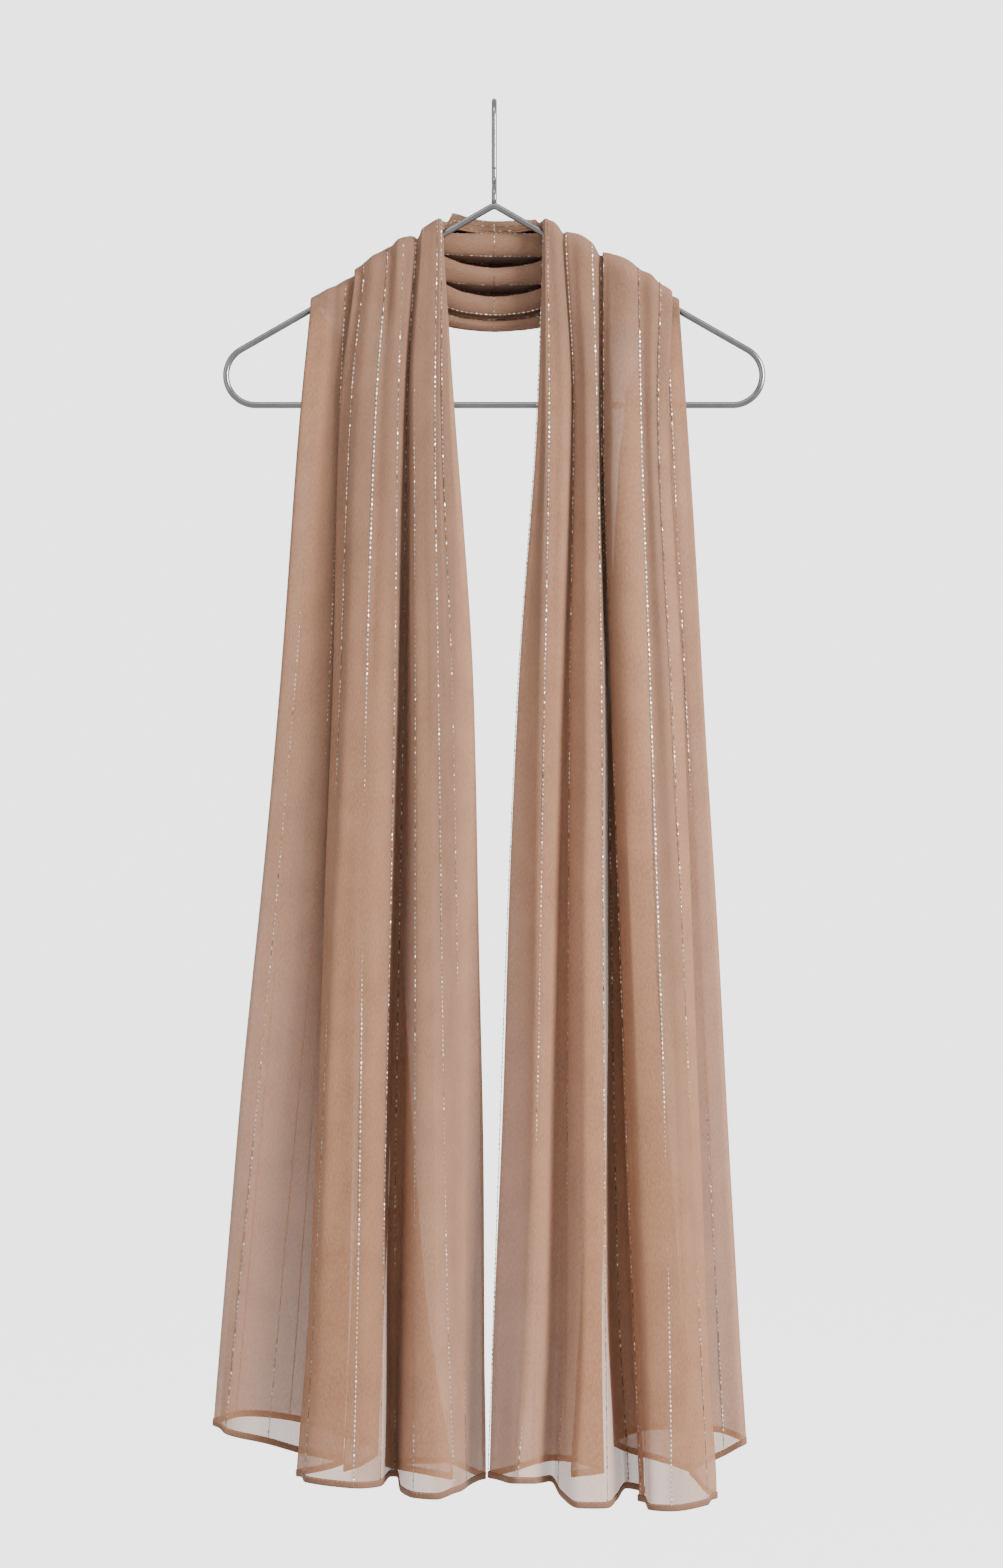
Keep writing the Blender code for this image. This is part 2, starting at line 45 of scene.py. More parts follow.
# Everything a user would change in the hanger
hanger = {
    "frameWire": 4.8,
    "hookWire": 3.9,
    "width": 407.8,
    "apexDrop": 76.0,
    "armSlope": math.radians(29.7),
    "apexBend": 5.0,
    "barDrop": 226.2,
    "hookInside": 14.0,
    "hookTipDrop": 52.0,
    "hookBend": 10.0,
    "stemGap": 0.3,
    "stemSunk": 1.2,
    "tipStart": 0.2,
    "sides": 28,
    "colour": (0.28, 0.28, 0.29),
    "rubbedShare": 0.86,
    "rubbedScale": 90.0,
    "roughness": 0.22,
    "roughnessSpread": 0.16,
}

# Everything a user would change in the cloth
scarf = {
    "width": 730.0,
    "length": 1960.0,
    "hemDepth": 5.0,
    "turnCloth": 4.0,
    "columns": 288,
    "rowsDown": 112,
    "rowsOver": 9,
    "rowsNeck": 84,
    "finerBelow": 1.15,  # over 1 sets the rows closer together towards the shoulder
    "halfWay": 0.5,
    "halfRise": 0.28,
    "behindWire": (0.05, 0.025, 0.13),
    "furtherOn": (0.54, 0.72, 0.44),
    "leastReach": 0.22,
    "thinColour": (0.57, 0.285, 0.163),
    "thinShade": (0.425, 0.205, 0.114),
    "deepColour": (0.325, 0.176, 0.112),
    "deepShade": (0.24, 0.125, 0.077),
    "grainSpan": (0.32, 0.6),
    "opacity": 0.77,
    "poreShare": 0.35,
    "roughness": 0.78,
    "gloss": 0.25,
    "sheen": 0.12,
    "sheenTint": (1.0, 0.86, 0.78, 1.0),
    "relief": (0.7, 0.0003),
    "turnLayers": 0.6,
    "mostRowLayers": 4.0,
    "gatherWidth": 23.0,
    "gatherShare": 0.85,
    "thickLeft": ((0, 60, 140, 175, 480, 520, 600, 650), (1, 1, 0.5, 1, 1, 0.15, 0.4, 1)),
    "thickNeck": ((0, 730), (2, 2)),
    "thickRight": ((0, 100, 170, 200, 440, 480, 560, 620), (1, 1, 0.5, 1, 1, 0, 0.1, 1)),
    "hiddenLeft": ((4, 122), (560, 728)),
    "hiddenRight": ((4, 150), (528, 728)),
}

# Everything a user would change in the metallic threads
threads = {
    "spacing": 36.5,
    "count": 20,
    "pitch": 3.6,
    "beadSize": (0.7, 1.15),
    "smallBeads": 0.1,
    "beadTwist": 0.4,
    "crosswise": 0.2,
    "beadWide": (0.44, 0.74),
    "beadThick": (0.30, 0.48),
    "tieWide": (0.15, 0.20),
    # the silver end is a painted glint on the metal, the bronze end is the thread's dull tone
    "glintSilver": (0.95, 0.90, 0.82),
    "bronze": (0.20, 0.115, 0.07),
    # how wide each thread is and how strong its painted glint is in each stretch, from the inner edge to
    # the outer one
    "left": (0.2, 0.2, 0.3, 0.3, 0.35, 0.6, 0.45, 0.3, 0.4, 1.0,
             0.4, 0.3, 0.3, 0.6, 0.45, 0.3, 0.3, 0.2, 0.2, 0.2),
    "neck": (0.1, 0.1, 0.2, 0.2, 0.3, 0.3, 0.6, 0.7, 0.2, 0.2,
             0.2, 0.2, 0.35, 0.2, 0.2, 0.3, 1.0, 0.2, 0.2, 0.1),
    "right": (0.2, 0.2, 0.2, 0.3, 0.45, 0.6, 0.4, 0.5, 0.3, 0.3,
              1.0, 0.35, 0.3, 0.6, 0.3, 0.3, 0.3, 0.2, 0.2, 0.2),
}

# Everything a user would change in the sewing
sewing = {
    "hemThick": 0.9,
    "hemColumns": 420,
    "pucker": 0.14,
    "rollRadius": 0.62,
    "rollStep": 3.2,
    "rollRipple": 0.12,
    "stitchPitch": 2.9,
    "stitchLength": 1.9,
    "stitchRadius": 0.2,
    "stitchInset": 0.9,
    "threadColour": (0.42, 0.22, 0.14, 1.0),
    "colour": (0.27, 0.142, 0.09),
    "shade": (0.20, 0.102, 0.063),
}

# Drops of the four stations below the shoulder, and how far the folds have opened at each
stationDrops = (226.0, 448.0, 899.0, 1030.0)
opening = (0.0, 0.32, 0.82, 1.0)

# One row for each fold, from the inner long edge to the outer one, as in the cut cloth: place across
# the threads, turn, X at the shoulder and at the four stations, height over the wire, distance
# forward at the bar and at the hem, lap of a turn at the shoulder, the bar and the hem, drop
foldColumns = ("cloth", "turn", "crown", "bar", "upper", "lower", "hem", "pile", "outBar",
               "outHem", "lapCrown", "lapBar", "lapHem", "drop")

leftFolds = (
    (0, 0, -39.5, -86, -78, -52, -32, 3.7, 8.6, -16, 0, 0, 0, 1038),
    (54, 0, -39.3, -66, -74, -80, -83, 5.3, 6.4, -26, 0, 0, 0, 1030),
    (100, 0, -39.2, -42, -42, -36, -38, 6.8, 6.7, -36, 0, 0, 0, 1030),
    (130, 1, -38.5, -30, -15.6, -7, -6.2, 8.3, 12, -20, 0, 3, 5, 1038),
    (200, 0, -42.5, -44, -41, -34, -29, 12, 19, 38, 0, 0, 0, 1035),
    (220, 0, -48, -52, -48.5, -46, -43, 12.5, 20, 45, 0, 0, 0, 1038),
    (237, 0, -53, -59.5, -58.5, -58.5, -59.5, 11.5, 18.5, 40, 0, 0, 0, 1038),
    (252, 0, -55.4, -63, -63, -66.5, -70, 9.3, 13.5, 15, 0, 0, 0, 1039),
    (268, 0, -57.7, -64.7, -66.7, -72, -73, 6.9, 9.6, -4, 0, 0, 0, 1033),
    (284, 0, -60.4, -66.4, -70.4, -79, -78, 9.5, 12.5, -1, 0, 0, 0, 1032),
    (310, 0, -68, -71.5, -74, -82.5, -84, 12.8, 18.3, 33, 0, 0, 0, 1031),
    (347, 0, -80, -88, -95, -101, -104, 12, 20, 44, 0, 0, 0, 1030),
    (382, 0, -97, -106, -114.5, -133, -140, 11, 18.2, 33, 0, 0, 0, 1028),
    (400, -1, -105, -115.5, -122, -139, -149, 9.6, 12.4, 1, -0.9, -1.8, -4, 1031),
    (438, 1, -84, -97, -101, -109, -114, 7.1, 9.5, -8, -0.9, -0.9, -2.5, 1024),
    (465, 0, -97, -105, -113, -134, -147, 6.2, 8.6, -11, 0, 0, 0, 1017),
    (492, 0, -111, -115, -124, -160, -172, 6.6, 8.6, -3, 0, 0, 0, 1008),
    (529, 0, -126, -133, -150, -192, -205, 7.2, 8.6, 2, 0, 0, 0, 999),
    (546, -1, -138, -145, -162, -205, -215, 7, 6.9, -6, -0.7, -1.2, -5, 994),
    (570, 0, -136.5, -131, -146, -184, -197, 5.95, 4.9, -26, 0, 0, 0, 992),
    (612, 0, -135.8, -113, -114, -138, -148, 5.4, 4.5, -40, 0, 0, 0, 1000),
    (660, 0, -135, -99, -88, -92, -99, 4.8, 4.5, -38, 0, 0, 0, 1017),
    (685, 0, -134.6, -92, -80, -85, -89, 4.4, 5, -22, 0, 0, 0, 1020),
    (708, 0, -134.2, -89, -82, -97, -101, 4.05, 5.8, -13, 0, 0, 0, 1027),
    (730, 0, -133.8, -86, -88, -107, -114, 3.7, 7.2, -11, 0, 0, 0, 1031),
)

rightFolds = (
    (0, 0, 37.7, 88, 80, 66, 58.5, 3.7, 7.4, -16, 0, 0, 0, 1036),
    (40, 0, 37.5, 73, 78, 80, 82.6, 4.8, 6.4, -22, 0, 0, 0, 1034),
    (100, 0, 37.4, 49, 50, 49.5, 47, 6.4, 6.7, -36, 0, 0, 0, 1028),
    (164, -1, 36.7, 32.2, 17, -0.2, -4.7, 8.3, 12, -2, 0, 3, 6, 1033),
    (201, 0, 40, 41, 37.5, 27.5, 17, 10.8, 18, 38, 0, 0, 0, 1028),
    (212, 0, 44.5, 50, 45.7, 35.6, 29, 11.5, 18, 34, 0, 0, 0, 1029),
    (222, 0, 49, 57, 50, 40, 36.5, 9.8, 13.5, 18, 0, 0, 0, 1032),
    (231, 0, 51.7, 58.5, 54, 47.7, 43.5, 7.4, 10.2, 4, 0, 0, 0, 1035),
    (240, 0, 54.8, 60, 57.8, 56, 49.5, 9.8, 13, 18, 0, 0, 0, 1042),
    (258, 0, 64.5, 69, 69.5, 68, 62, 12.5, 19, 42, 0, 0, 0, 1045),
    (274, 0, 73.5, 76.6, 80, 82.5, 84, 12, 17.5, 38, 0, 0, 0, 1046),
    (288, 0, 76.6, 78.3, 82.4, 85.3, 91.5, 9.5, 13, 14, 0, 0, 0, 1046),
    (308, 0, 79.6, 79.8, 84.8, 92.3, 99.9, 6.6, 9.2, -10, 0, 0, 0, 1043),
    (327, 1, 84, 86.5, 91.5, 106.6, 113.4, 7.2, 10, -5, 0.9, 0.8, 2.5, 1045),
    (345, -1, 81.6, 81.2, 87, 102, 107.4, 9.4, 12.6, 12, 0.9, 1.5, 5, 1047),
    (362, 0, 89, 87.5, 94.5, 110.5, 114, 12, 19, 38, 0, 0, 0, 1047),
    (383, 0, 108, 109, 116, 129, 130.5, 13, 20, 44, 0, 0, 0, 1047),
    (420, 0, 124.7, 122.5, 132.5, 152, 158, 11.5, 17.8, 33, 0, 0, 0, 1045),
    (434, 1, 133.7, 131, 142, 159, 166.8, 9.6, 12.4, 12, -0.9, -1.8, -4, 1045),
    (462, -1, 118.7, 115.7, 126, 141, 147, 7.1, 9.5, 0, -0.9, -0.95, -2.5, 1030),
    (493, 0, 129, 132.6, 144, 167.5, 174.3, 6.6, 8.6, -5, 0, 0, 0, 1017),
    (511, 1, 139, 143.9, 157.5, 184, 191.6, 7, 6.9, -7, -0.7, -1.2, -4, 1008),
    (535, 0, 137.5, 132, 142.7, 163.8, 170, 5.95, 4.9, -27, 0, 0, 0, 1004),
    (590, 0, 136.6, 112, 106, 117, 121, 5.3, 4.3, -40, 0, 0, 0, 1005),
    (640, 0, 135.8, 100, 91, 88, 92, 4.7, 5.4, -28, 0, 0, 0, 1014),
    (700, 0, 134.7, 98, 99, 128, 136, 4.05, 8.2, -14, 0, 0, 0, 1027),
    (730, 0, 134.2, 98, 109, 140, 149, 3.7, 10.2, -9, 0, 0, 0, 1031),
)

# One row for each fold of the neck stretch, from the top down: place across the cloth in the middle
# and behind the left and the right wire, back and drop in the middle, back and distance from the
# middle at the side, rise there on the left and the right, angle at which it leaves the wire
neckColumns = ("cloth", "left", "right", "back", "drop", "sideBack", "side", "riseLeft", "riseRight",
               "leave")

neckFolds = (
    (0, 0, 0, 12, 95, 10.2, 29, 3.1, 2.4, 104),
    (60, 55, 65, 11.5, 89.5, 10, 30, 4.4, 1.7, 104),
    (110, 95, 118, 17, 84.7, 15, 31, 5.8, 1, 104),
    (150, 132, 164, 32, 87.5, 24, 32, 4.2, 2, 104),
    (182, 185, 190, 42, 94.5, 33, 33, 3.6, 2.6, 106),
    (200, 208, 204, 42, 99, 33, 34, 3.6, 2.6, 106),
    (225, 238, 218, 20, 103, 17, 38, 3.1, 3.1, 112),
    (238, 252, 226, 9, 95.7, 8.5, 44, 0.6, 0.2, 114),
    (255, 266, 240, 5, 104.7, 5, 44, 1.4, 0.4, 115),
    (272, 280, 300, 9, 112.3, 8.5, 44, 2.2, -0.2, 115),
    (300, 300, 322, 26, 114, 22, 44, 4.8, 1.6, 118),
    (338, 342, 380, 42, 115.8, 35, 44, 4.8, 2.8, 120),
    (356, 362, 402, 42, 119.6, 35, 44, 4.8, 3.4, 124),
    (400, 404, 438, 22, 121.8, 19, 44, 6.8, 4.8, 128),
    (421, 424, 450, 10, 121.4, 9.5, 44, 9.8, 6.6, 130),
    (438, 438, 462, 6, 127.6, 6, 44, 6.6, 4.3, 132),
    (455, 456, 474, 10, 134, 9.5, 44, 3.3, 1.6, 134),
    (475, 475, 486, 24, 135.6, 21, 44, 5.4, 3.5, 136),
    (503, 503, 500, 36, 137.4, 30, 44, 5.6, 4.2, 139),
    (521, 521, 516, 36, 141, 30, 44, 6, 4.8, 141),
    (550, 550, 545, 22, 143.4, 20, 44, 8.2, 6.3, 145),
    (568, 568, 566, 10.5, 143, 10, 44, 11, 8.2, 147),
    (585, 585, 585, 6.5, 150.5, 6.5, 44, 9.2, 7.3, 150),
    (602, 602, 602, 9.5, 156.8, 9.5, 44, 7.4, 6.4, 150),
    (628, 628, 628, 17, 158.2, 15, 44, 7, 6.1, 150),
    (650, 650, 650, 17, 160.6, 15, 44, 6.8, 5.9, 150),
    (676, 676, 676, 12, 161.4, 11, 44, 6.3, 5.6, 150),
    (696, 696, 696, 8, 164.8, 8, 44, 5.8, 5, 150),
    (712, 712, 712, 12, 168.8, 12, 44, 5.4, 4.5, 150),
    (730, 730, 730, 24, 167, 22, 44, 5.4, 4.5, 150),
)

# Creases of each fall: place across the cloth, lean across for each 100 down, first
# and last drop, half width, height (less than 0 is a trough)
leftCreases = (
    (185, 0.0, -200, 430, 9, -1.2),
    (222, 0.0, -200, 520, 8, 1.0),
    (243, 0.2, -200, 460, 7, -1.8),
    (303, -0.1, -200, 900, 6, 1.0),
    (322, 0.1, -200, 430, 9, -2.8),
    (340, 0.0, -200, 480, 6, 1.8),
    (369, 0.2, -200, 620, 9, -2.9),
    (390, 0.0, -200, 560, 7, 1.8),
    (480, 0.5, -200, 420, 7, 0.9),
    (512, 0.2, -200, 500, 7, 1.2),
    (527, 0.0, -200, 420, 5, -1.1),
    (172, 1.0, 120, 560, 9, 1.1),
    (186, -1.5, 240, 860, 6, -0.8),
    (208, 0.6, 420, 1010, 7, 0.9),
    (160, 0.0, 610, 1020, 8, -1.0),
    (322, -1.2, 150, 640, 8, 1.2),
    (333, 1.2, 300, 980, 7, -1.0),
    (358, 0.9, 180, 520, 6, -0.9),
    (366, -0.8, 430, 900, 8, 1.1),
    (376, -1.1, 640, 1010, 6, -0.8),
    (474, 1.4, 210, 700, 7, 0.8),
    (502, -1.3, 260, 980, 9, -1.0),
    (516, 1.0, 420, 900, 6, 0.9),
    (598, 0.7, 300, 940, 12, 1.2),
    (634, -1.0, 420, 1000, 10, -1.2),
    (76, 0.8, 350, 980, 12, 1.1),
    (30, -0.6, 420, 900, 9, -0.9),
)

rightCreases = (
    (190, 0.2, -200, 500, 8, -1.1),
    (206, 0.0, -200, 420, 6, 1.0),
    (248, 0.0, -200, 600, 6, 1.0),
    (262, 0.2, -200, 420, 8, -1.2),
    (352, 0.1, -200, 380, 4, 1.0),
    (371, 0.4, -200, 560, 8, -2.6),
    (387, 0.0, -200, 700, 6, 1.8),
    (403, 0.4, -200, 520, 8, -2.6),
    (419, 0.0, -200, 600, 6, 1.5),
    (484, 0.0, -200, 420, 6, 0.8),
    (180, 0.8, 150, 620, 7, -0.9),
    (188, -0.9, 320, 900, 5, 0.8),
    (196, 0.5, 520, 1010, 6, -0.8),
    (266, 0.9, 200, 720, 6, 0.8),
    (252, -0.6, 480, 980, 5, -0.7),
    (372, -1.0, 150, 600, 7, -1.0),
    (393, 1.2, 220, 840, 8, 1.2),
    (404, -0.7, 420, 1010, 7, -0.9),
    (412, 0.6, 640, 1000, 6, 0.8),
    (480, 0.9, 250, 900, 7, 0.9),
    (497, -0.7, 420, 980, 5, -0.7),
    (560, 0.8, 300, 960, 12, 1.1),
    (612, -1.0, 420, 980, 11, -1.1),
    (70, 0.7, 380, 980, 12, 1.0),
    (128, -0.8, 300, 900, 9, -0.9),
)


# Each column of a table as an array, by its name
def readTable(names, rows):
    return {name: np.array([row[i] for row in rows], dtype=float) for i, name in enumerate(names)}


# A cubic through the knots, column by column, that is level at each high and low knot, so that it
# never overshoots: the slope at any other knot is the weighted harmonic mean of its neighbours'
def smoothCurve(knots, values, query):
    step = np.diff(knots, axis=0)
    slope = np.diff(values, axis=0) / step
    near = 2 * step[1:] + step[:-1]
    far = step[1:] + 2 * step[:-1]
    together = slope[:-1] * slope[1:] > 0
    before = np.where(together, slope[:-1], 1.0)
    after = np.where(together, slope[1:], 1.0)
    inner = np.where(together, (near + far) / (near / before + far / after), 0.0)
    slopes = np.concatenate([slope[:1], inner, slope[-1:]])
    place = np.zeros(query.shape, dtype=int)
    for knot in knots[1:-1]:
        place += query >= knot
    column = np.arange(knots.shape[1])[None, :]
    width = step[place, column]
    t = np.clip((query - knots[place, column]) / width, 0.0, 1.0)
    low = values[place, column]
    high = values[place + 1, column]
    rise = slopes[place, column] * width
    fall = slopes[place + 1, column] * width
    return (low * (1 + 2 * t) * (1 - t) ** 2 + rise * t * (1 - t) ** 2
            + high * t * t * (3 - 2 * t) - fall * t * t * (1 - t))


# The same smooth curve for one row of knots across the cloth
def acrossCloth(knots, values, cloth):
    return smoothCurve(knots[:, None], np.asarray(values)[:, None], cloth[:, None])[:, 0]


# Three knots in place of one at each open turn, so that its two layers stand a lap apart
def withTurns(folds, places, depths, laps):
    cloth = []
    x = []
    out = []
    for i, turn in enumerate(folds["turn"]):
        for side in (-1, 0, 1) if turn * laps[i] else (0,):
            cloth.append(folds["cloth"][i] + side * scarf["turnCloth"])
            x.append(places[i] - turn * abs(side * laps[i]))
            out.append(depths[i] + side * laps[i])
    return np.array(cloth), np.array(x), np.array(out)


# Drop of the hanger's arm below the hook's seat: the apex, then a straight slope to each side
def armDrop(x):
    return hanger["apexDrop"] + math.tan(hanger["armSlope"]) * np.abs(x)


# X, distance forward and drop of each thread at the shoulder wire and at the four stations
def fallStations(folds, cloth):
    knots, x, out = withTurns(folds, folds["crown"], folds["pile"], folds["lapCrown"])
    places = [acrossCloth(knots, x, cloth)]
    depths = [acrossCloth(knots, out, cloth)]
    for name, opened in zip(("bar", "upper", "lower", "hem"), opening):
        depth = folds["outBar"] + (folds["outHem"] - folds["outBar"]) * opened
        lap = folds["lapBar"] + (folds["lapHem"] - folds["lapBar"]) * opened
        knots, x, out = withTurns(folds, folds[name], depth, lap)
        places.append(acrossCloth(knots, x, cloth))
        depths.append(acrossCloth(knots, out, cloth))
    level = np.ones_like(places[0])
    drops = [armDrop(places[0])]
    drops += [level * drop for drop in stationDrops]
    return np.array(places), np.array(depths), np.array(drops)


# Rows of a fall: at part t the thread has dropped t of the way from the wire to its own lower edge
def fallRows(folds, cloth, parts, trim=0.0):
    places, depths, drops = fallStations(folds, cloth)
    low = acrossCloth(folds["cloth"], folds["drop"], cloth) - trim
    drop = drops[0] + (low - drops[0]) * np.asarray(parts)[:, None]
    return np.stack([smoothCurve(drops, places, drop), -smoothCurve(drops, depths, drop), -drop], axis=2)


# Rows round the shoulder wire: at each angle from its front the thread lies its pile from the centre
def overRows(folds, cloth, angles):
    places, depths, drops = fallStations(folds, cloth)
    angle = np.radians(np.broadcast_to(angles, (len(angles), len(cloth))))
    y = -depths[0] * np.cos(angle)
    z = depths[0] / math.cos(hanger["armSlope"]) * np.sin(angle) - drops[0]
    return np.stack([np.broadcast_to(places[0], y.shape), y, z], axis=2)


# Points a part of the way from the middle to the side: side is -1 on the left and 1 on the right
def neckPlace(neck, knots, cloth, side, way, raised):
    rise = neck["riseLeft"] if side < 0 else neck["riseRight"]
    x = acrossCloth(knots, side * way * neck["side"], cloth)
    back = acrossCloth(knots, neck["back"] + (neck["sideBack"] - neck["back"]) * way * way, cloth)
    drop = acrossCloth(knots, neck["drop"] - rise * raised, cloth)
    return np.stack([x, back, -drop], axis=1)


# The fifteen places that each thread passes between the tops of the two shoulder wires
def neckStations(left, right, neck, cloth):
    leave = acrossCloth(neck["cloth"], neck["leave"], cloth)
    angles = np.stack([np.full_like(leave, 90), (leave + 90) / 2, leave])
    ends = []
    behind = []
    further = []
    sides = []
    halves = []
    for folds, side, name in ((left, -1, "left"), (right, 1, "right")):
        end = overRows(folds, cloth, angles)
        beside = neckPlace(neck, neck[name], cloth, side, 1, 1)
        ends.append(end)
        behind.append(end[-1] + (beside - end[-1]) * scarf["behindWire"])
        further.append(end[-1] + (beside - end[-1]) * scarf["furtherOn"])
        sides.append(neckPlace(neck, neck["cloth"], cloth, side, 1, 1))
        halves.append(neckPlace(neck, neck["cloth"], cloth, side, scarf["halfWay"], scarf["halfRise"]))
    middle = neckPlace(neck, neck["cloth"], cloth, 1, 0, 0)
    inner = np.stack([behind[0], further[0], sides[0], halves[0], middle,
                      halves[1], sides[1], further[1], behind[1]])
    return np.concatenate([ends[0], inner, ends[1][::-1]])


# Rows along the neck stretch: a smooth curve through the stations, by the length along it
def neckRows(left, right, neck, cloth, count):
    stations = neckStations(left, right, neck, cloth)
    length = np.linalg.norm(np.diff(stations, axis=0), axis=2)
    along = np.concatenate([np.zeros((1, len(cloth))), np.cumsum(length, axis=0)])
    place = np.linspace(0, len(length), count)
    whole = np.minimum(np.floor(place).astype(int), len(length) - 1)
    query = along[whole] + length[whole] * (place - whole)[:, None]
    return np.stack([smoothCurve(along, stations[:, :, axis], query) for axis in range(3)], axis=2)


# The whole scarf from the left hem over the left wire, behind the neck and down to the right hem
def scarfRows(left, right, neck, cloth, rowsDown, rowsOver, rowsNeck, trim=0.0):
    parts = np.linspace(1, 0, rowsDown) ** scarf["finerBelow"]
    angles = np.linspace(0, 90, rowsOver)[1:-1, None]
    leftDown = fallRows(left, cloth, parts, trim)
    rightDown = fallRows(right, cloth, parts, trim)[::-1]
    leftOver = overRows(left, cloth, angles)
    rightOver = overRows(right, cloth, angles)[::-1]
    behind = neckRows(left, right, neck, cloth, rowsNeck)
    return np.concatenate([leftDown, leftOver, behind, rightOver, rightDown])


# Unit normals from the differences between neighbouring rows and columns, towards the wearer's front
def gridNormals(grid):
    normal = np.cross(np.gradient(grid, axis=1), np.gradient(grid, axis=0))
    return normal / np.maximum(np.linalg.norm(normal, axis=2), 1e-9)[:, :, None]


# How much of the cloth's own width lies in each millimetre across
def gathering(grid, cloth):
    reach = np.linalg.norm(np.gradient(grid, axis=1), axis=2) / np.gradient(cloth)[None, :]
    return 1 / np.clip(reach, scarf["leastReach"], 1.0)


# How many layers' worth of cloth lies at each point: the gathering there, and in the thick of the
# falls and behind the neck also the row's own, which is its width over its length across. A share
# is added where the cloth turns from front to back at the edge of a fold.
def layering(grid, cloth, normal):
    span = np.linalg.norm(np.diff(grid, axis=1), axis=2).sum(axis=1)
    row = np.clip(scarf["width"] / span - 1, 0, scarf["mostRowLayers"])[:, None]
    along = np.arange(len(grid))
    neckFirst = scarf["rowsDown"]
    neckLast = len(grid) - scarf["rowsDown"]
    names = ("thickLeft", "thickNeck", "thickRight")
    thick = np.stack([np.interp(cloth, *scarf[name]) for name in names])
    edges = (neckFirst - 6, neckFirst + 10, neckLast - 10, neckLast + 6)
    blend = np.interp(along, edges, (0, 1, 1, 2))
    below = np.floor(blend).astype(int).clip(0, 1)
    share = (blend - below)[:, None]
    turned = scarf["turnLayers"] * (1 - np.abs(normal[:, :, 1])) ** 2 * np.abs(blend - 1)[:, None]
    own = thick[below] * (1 - share) + thick[below + 1] * share
    return gathering(grid, cloth) + turned + row * own


creaseEnd = 90.0  # length over which a crease fades in and out


# A bell across the cloth times a soft window down it, added up over the table's rows
def creaseHeight(creases, cloth, drop):
    height = np.zeros(drop.shape)
    for place, lean, first, last, half, rise in creases:
        centre = place + lean * (drop - first) / 100
        bell = np.exp(-((cloth[None, :] - centre) / half) ** 2)
        window = np.clip((drop - first) / creaseEnd, 0, 1) * np.clip((last - drop) / creaseEnd, 0, 1)
        height += rise * bell * window * window * (3 - 2 * window)
    return height


# Gathers of the hidden layers: waves across the cloth, high enough to take up the width that the
# solids leave out, lower beside the bar and nothing on the shoulder wire. Each wave's height follows
# the share of the cloth's width that is missing: width / 2 pi * sqrt(2 (1 - reach squared)).
def hiddenGathers(hidden, cloth, drop, reach):
    height = np.zeros(drop.shape)
    for first, last in hidden:
        inside = np.clip((cloth - first) / 10, 0, 1) * np.clip((last - cloth) / 10, 0, 1)
        missing = np.sqrt(2 * np.clip(1 - reach ** 2, 0, 1))
        bend = 5 * np.sin(drop / 90 + first)
        wave = np.sin((cloth[None, :] + bend) * 2 * math.pi / scarf["gatherWidth"])
        height += inside[None, :] * missing * wave * scarf["gatherWidth"] / (2 * math.pi)
    hold = np.clip((drop - 165) / 120, 0, 1) * (1 - 0.8 * np.exp(-((drop - 226) / 30) ** 2))
    return scarf["gatherShare"] * height * hold * np.clip((1035 - drop) / 200, 0.25, 1)


# Slow waves that make the two falls uneven, from three crossing sines
def slowWaves(cloth, along):
    a = np.sin(along / 71 + cloth[None, :] / 83)
    b = np.sin(along / 43 - cloth[None, :] / 57 + 1.3)
    c = np.sin(along / 128 + cloth[None, :] / 31 + 2.1)
    return 0.35 * a + 0.22 * b + 0.4 * c


# A mesh piece from points in millimetres, with its UV map and its values at the points
def meshPiece(name, points, faces, finish, uv=None, values=None, smooth=True):
    mesh = bpy.data.meshes.new(name)
    mesh.from_pydata((points.reshape(-1, 3) * mm).tolist(), [], faces)
    mesh.polygons.foreach_set("use_smooth", [smooth] * len(mesh.polygons))
    if uv is not None:
        corner = np.empty(len(mesh.loops), dtype=np.int32)
        mesh.loops.foreach_get("vertex_index", corner)
        layer = mesh.uv_layers.new(name="cloth")
        layer.data.foreach_set("uv", uv.reshape(-1, 2)[corner].ravel())
    for key, value in (values or {}).items():
        mesh.attributes.new(key, "FLOAT", "POINT").data.foreach_set("value", value.ravel())
    mesh.materials.append(finish)
    mesh.update()
    piece = bpy.data.objects.new(name, mesh)
    bpy.context.scene.collection.objects.link(piece)
    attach(piece, "root")
    return piece


# Four-cornered faces of a grid; wrapped joins the last column to the first, closed the last row
def gridFaces(rows, columns, wrapped=False, start=0, closed=False):
    index = np.arange(rows * columns).reshape(rows, columns) + start
    if closed:
        index = np.concatenate([index, index[:1]])
    if wrapped:
        index = np.concatenate([index, index[:, :1]], axis=1)
    corners = (index[:-1, :-1], index[:-1, 1:], index[1:, 1:], index[1:, :-1])
    return np.stack([corner.ravel() for corner in corners], axis=1)


# Tubes along many paths at once. At each point of a path the section is an ellipse, with one half
# width along the given side vector and the other square to it and to the path, turned by a twist.
def tubes(paths, side, wide, thick, sides, twist=0.0, closed=False):
    count, length = paths.shape[:2]
    if closed:
        tangent = np.roll(paths, -1, axis=1) - np.roll(paths, 1, axis=1)
    else:
        tangent = np.gradient(paths, axis=1)
    tangent /= np.linalg.norm(tangent, axis=2)[:, :, None]
    other = np.cross(tangent, side)
    other /= np.linalg.norm(other, axis=2)[:, :, None]
    square = np.cross(other, tangent)
    angle = np.linspace(0, 2 * math.pi, sides, endpoint=False)[None, None, :] + np.asarray(twist)
    points = (paths[:, :, None, :]
              + square[:, :, None, :] * (np.cos(angle) * thick[:, :, None])[..., None]
              + other[:, :, None, :] * (np.sin(angle) * wide[:, :, None])[..., None])
    faces = []
    for i in range(count):
        start = i * length * sides
        faces += gridFaces(length, sides, True, start, closed).tolist()
        if not closed:
            faces.append(list(range(start, start + sides))[::-1])
            last = start + (length - 1) * sides
            faces.append(list(range(last, last + sides)))
    return points, faces


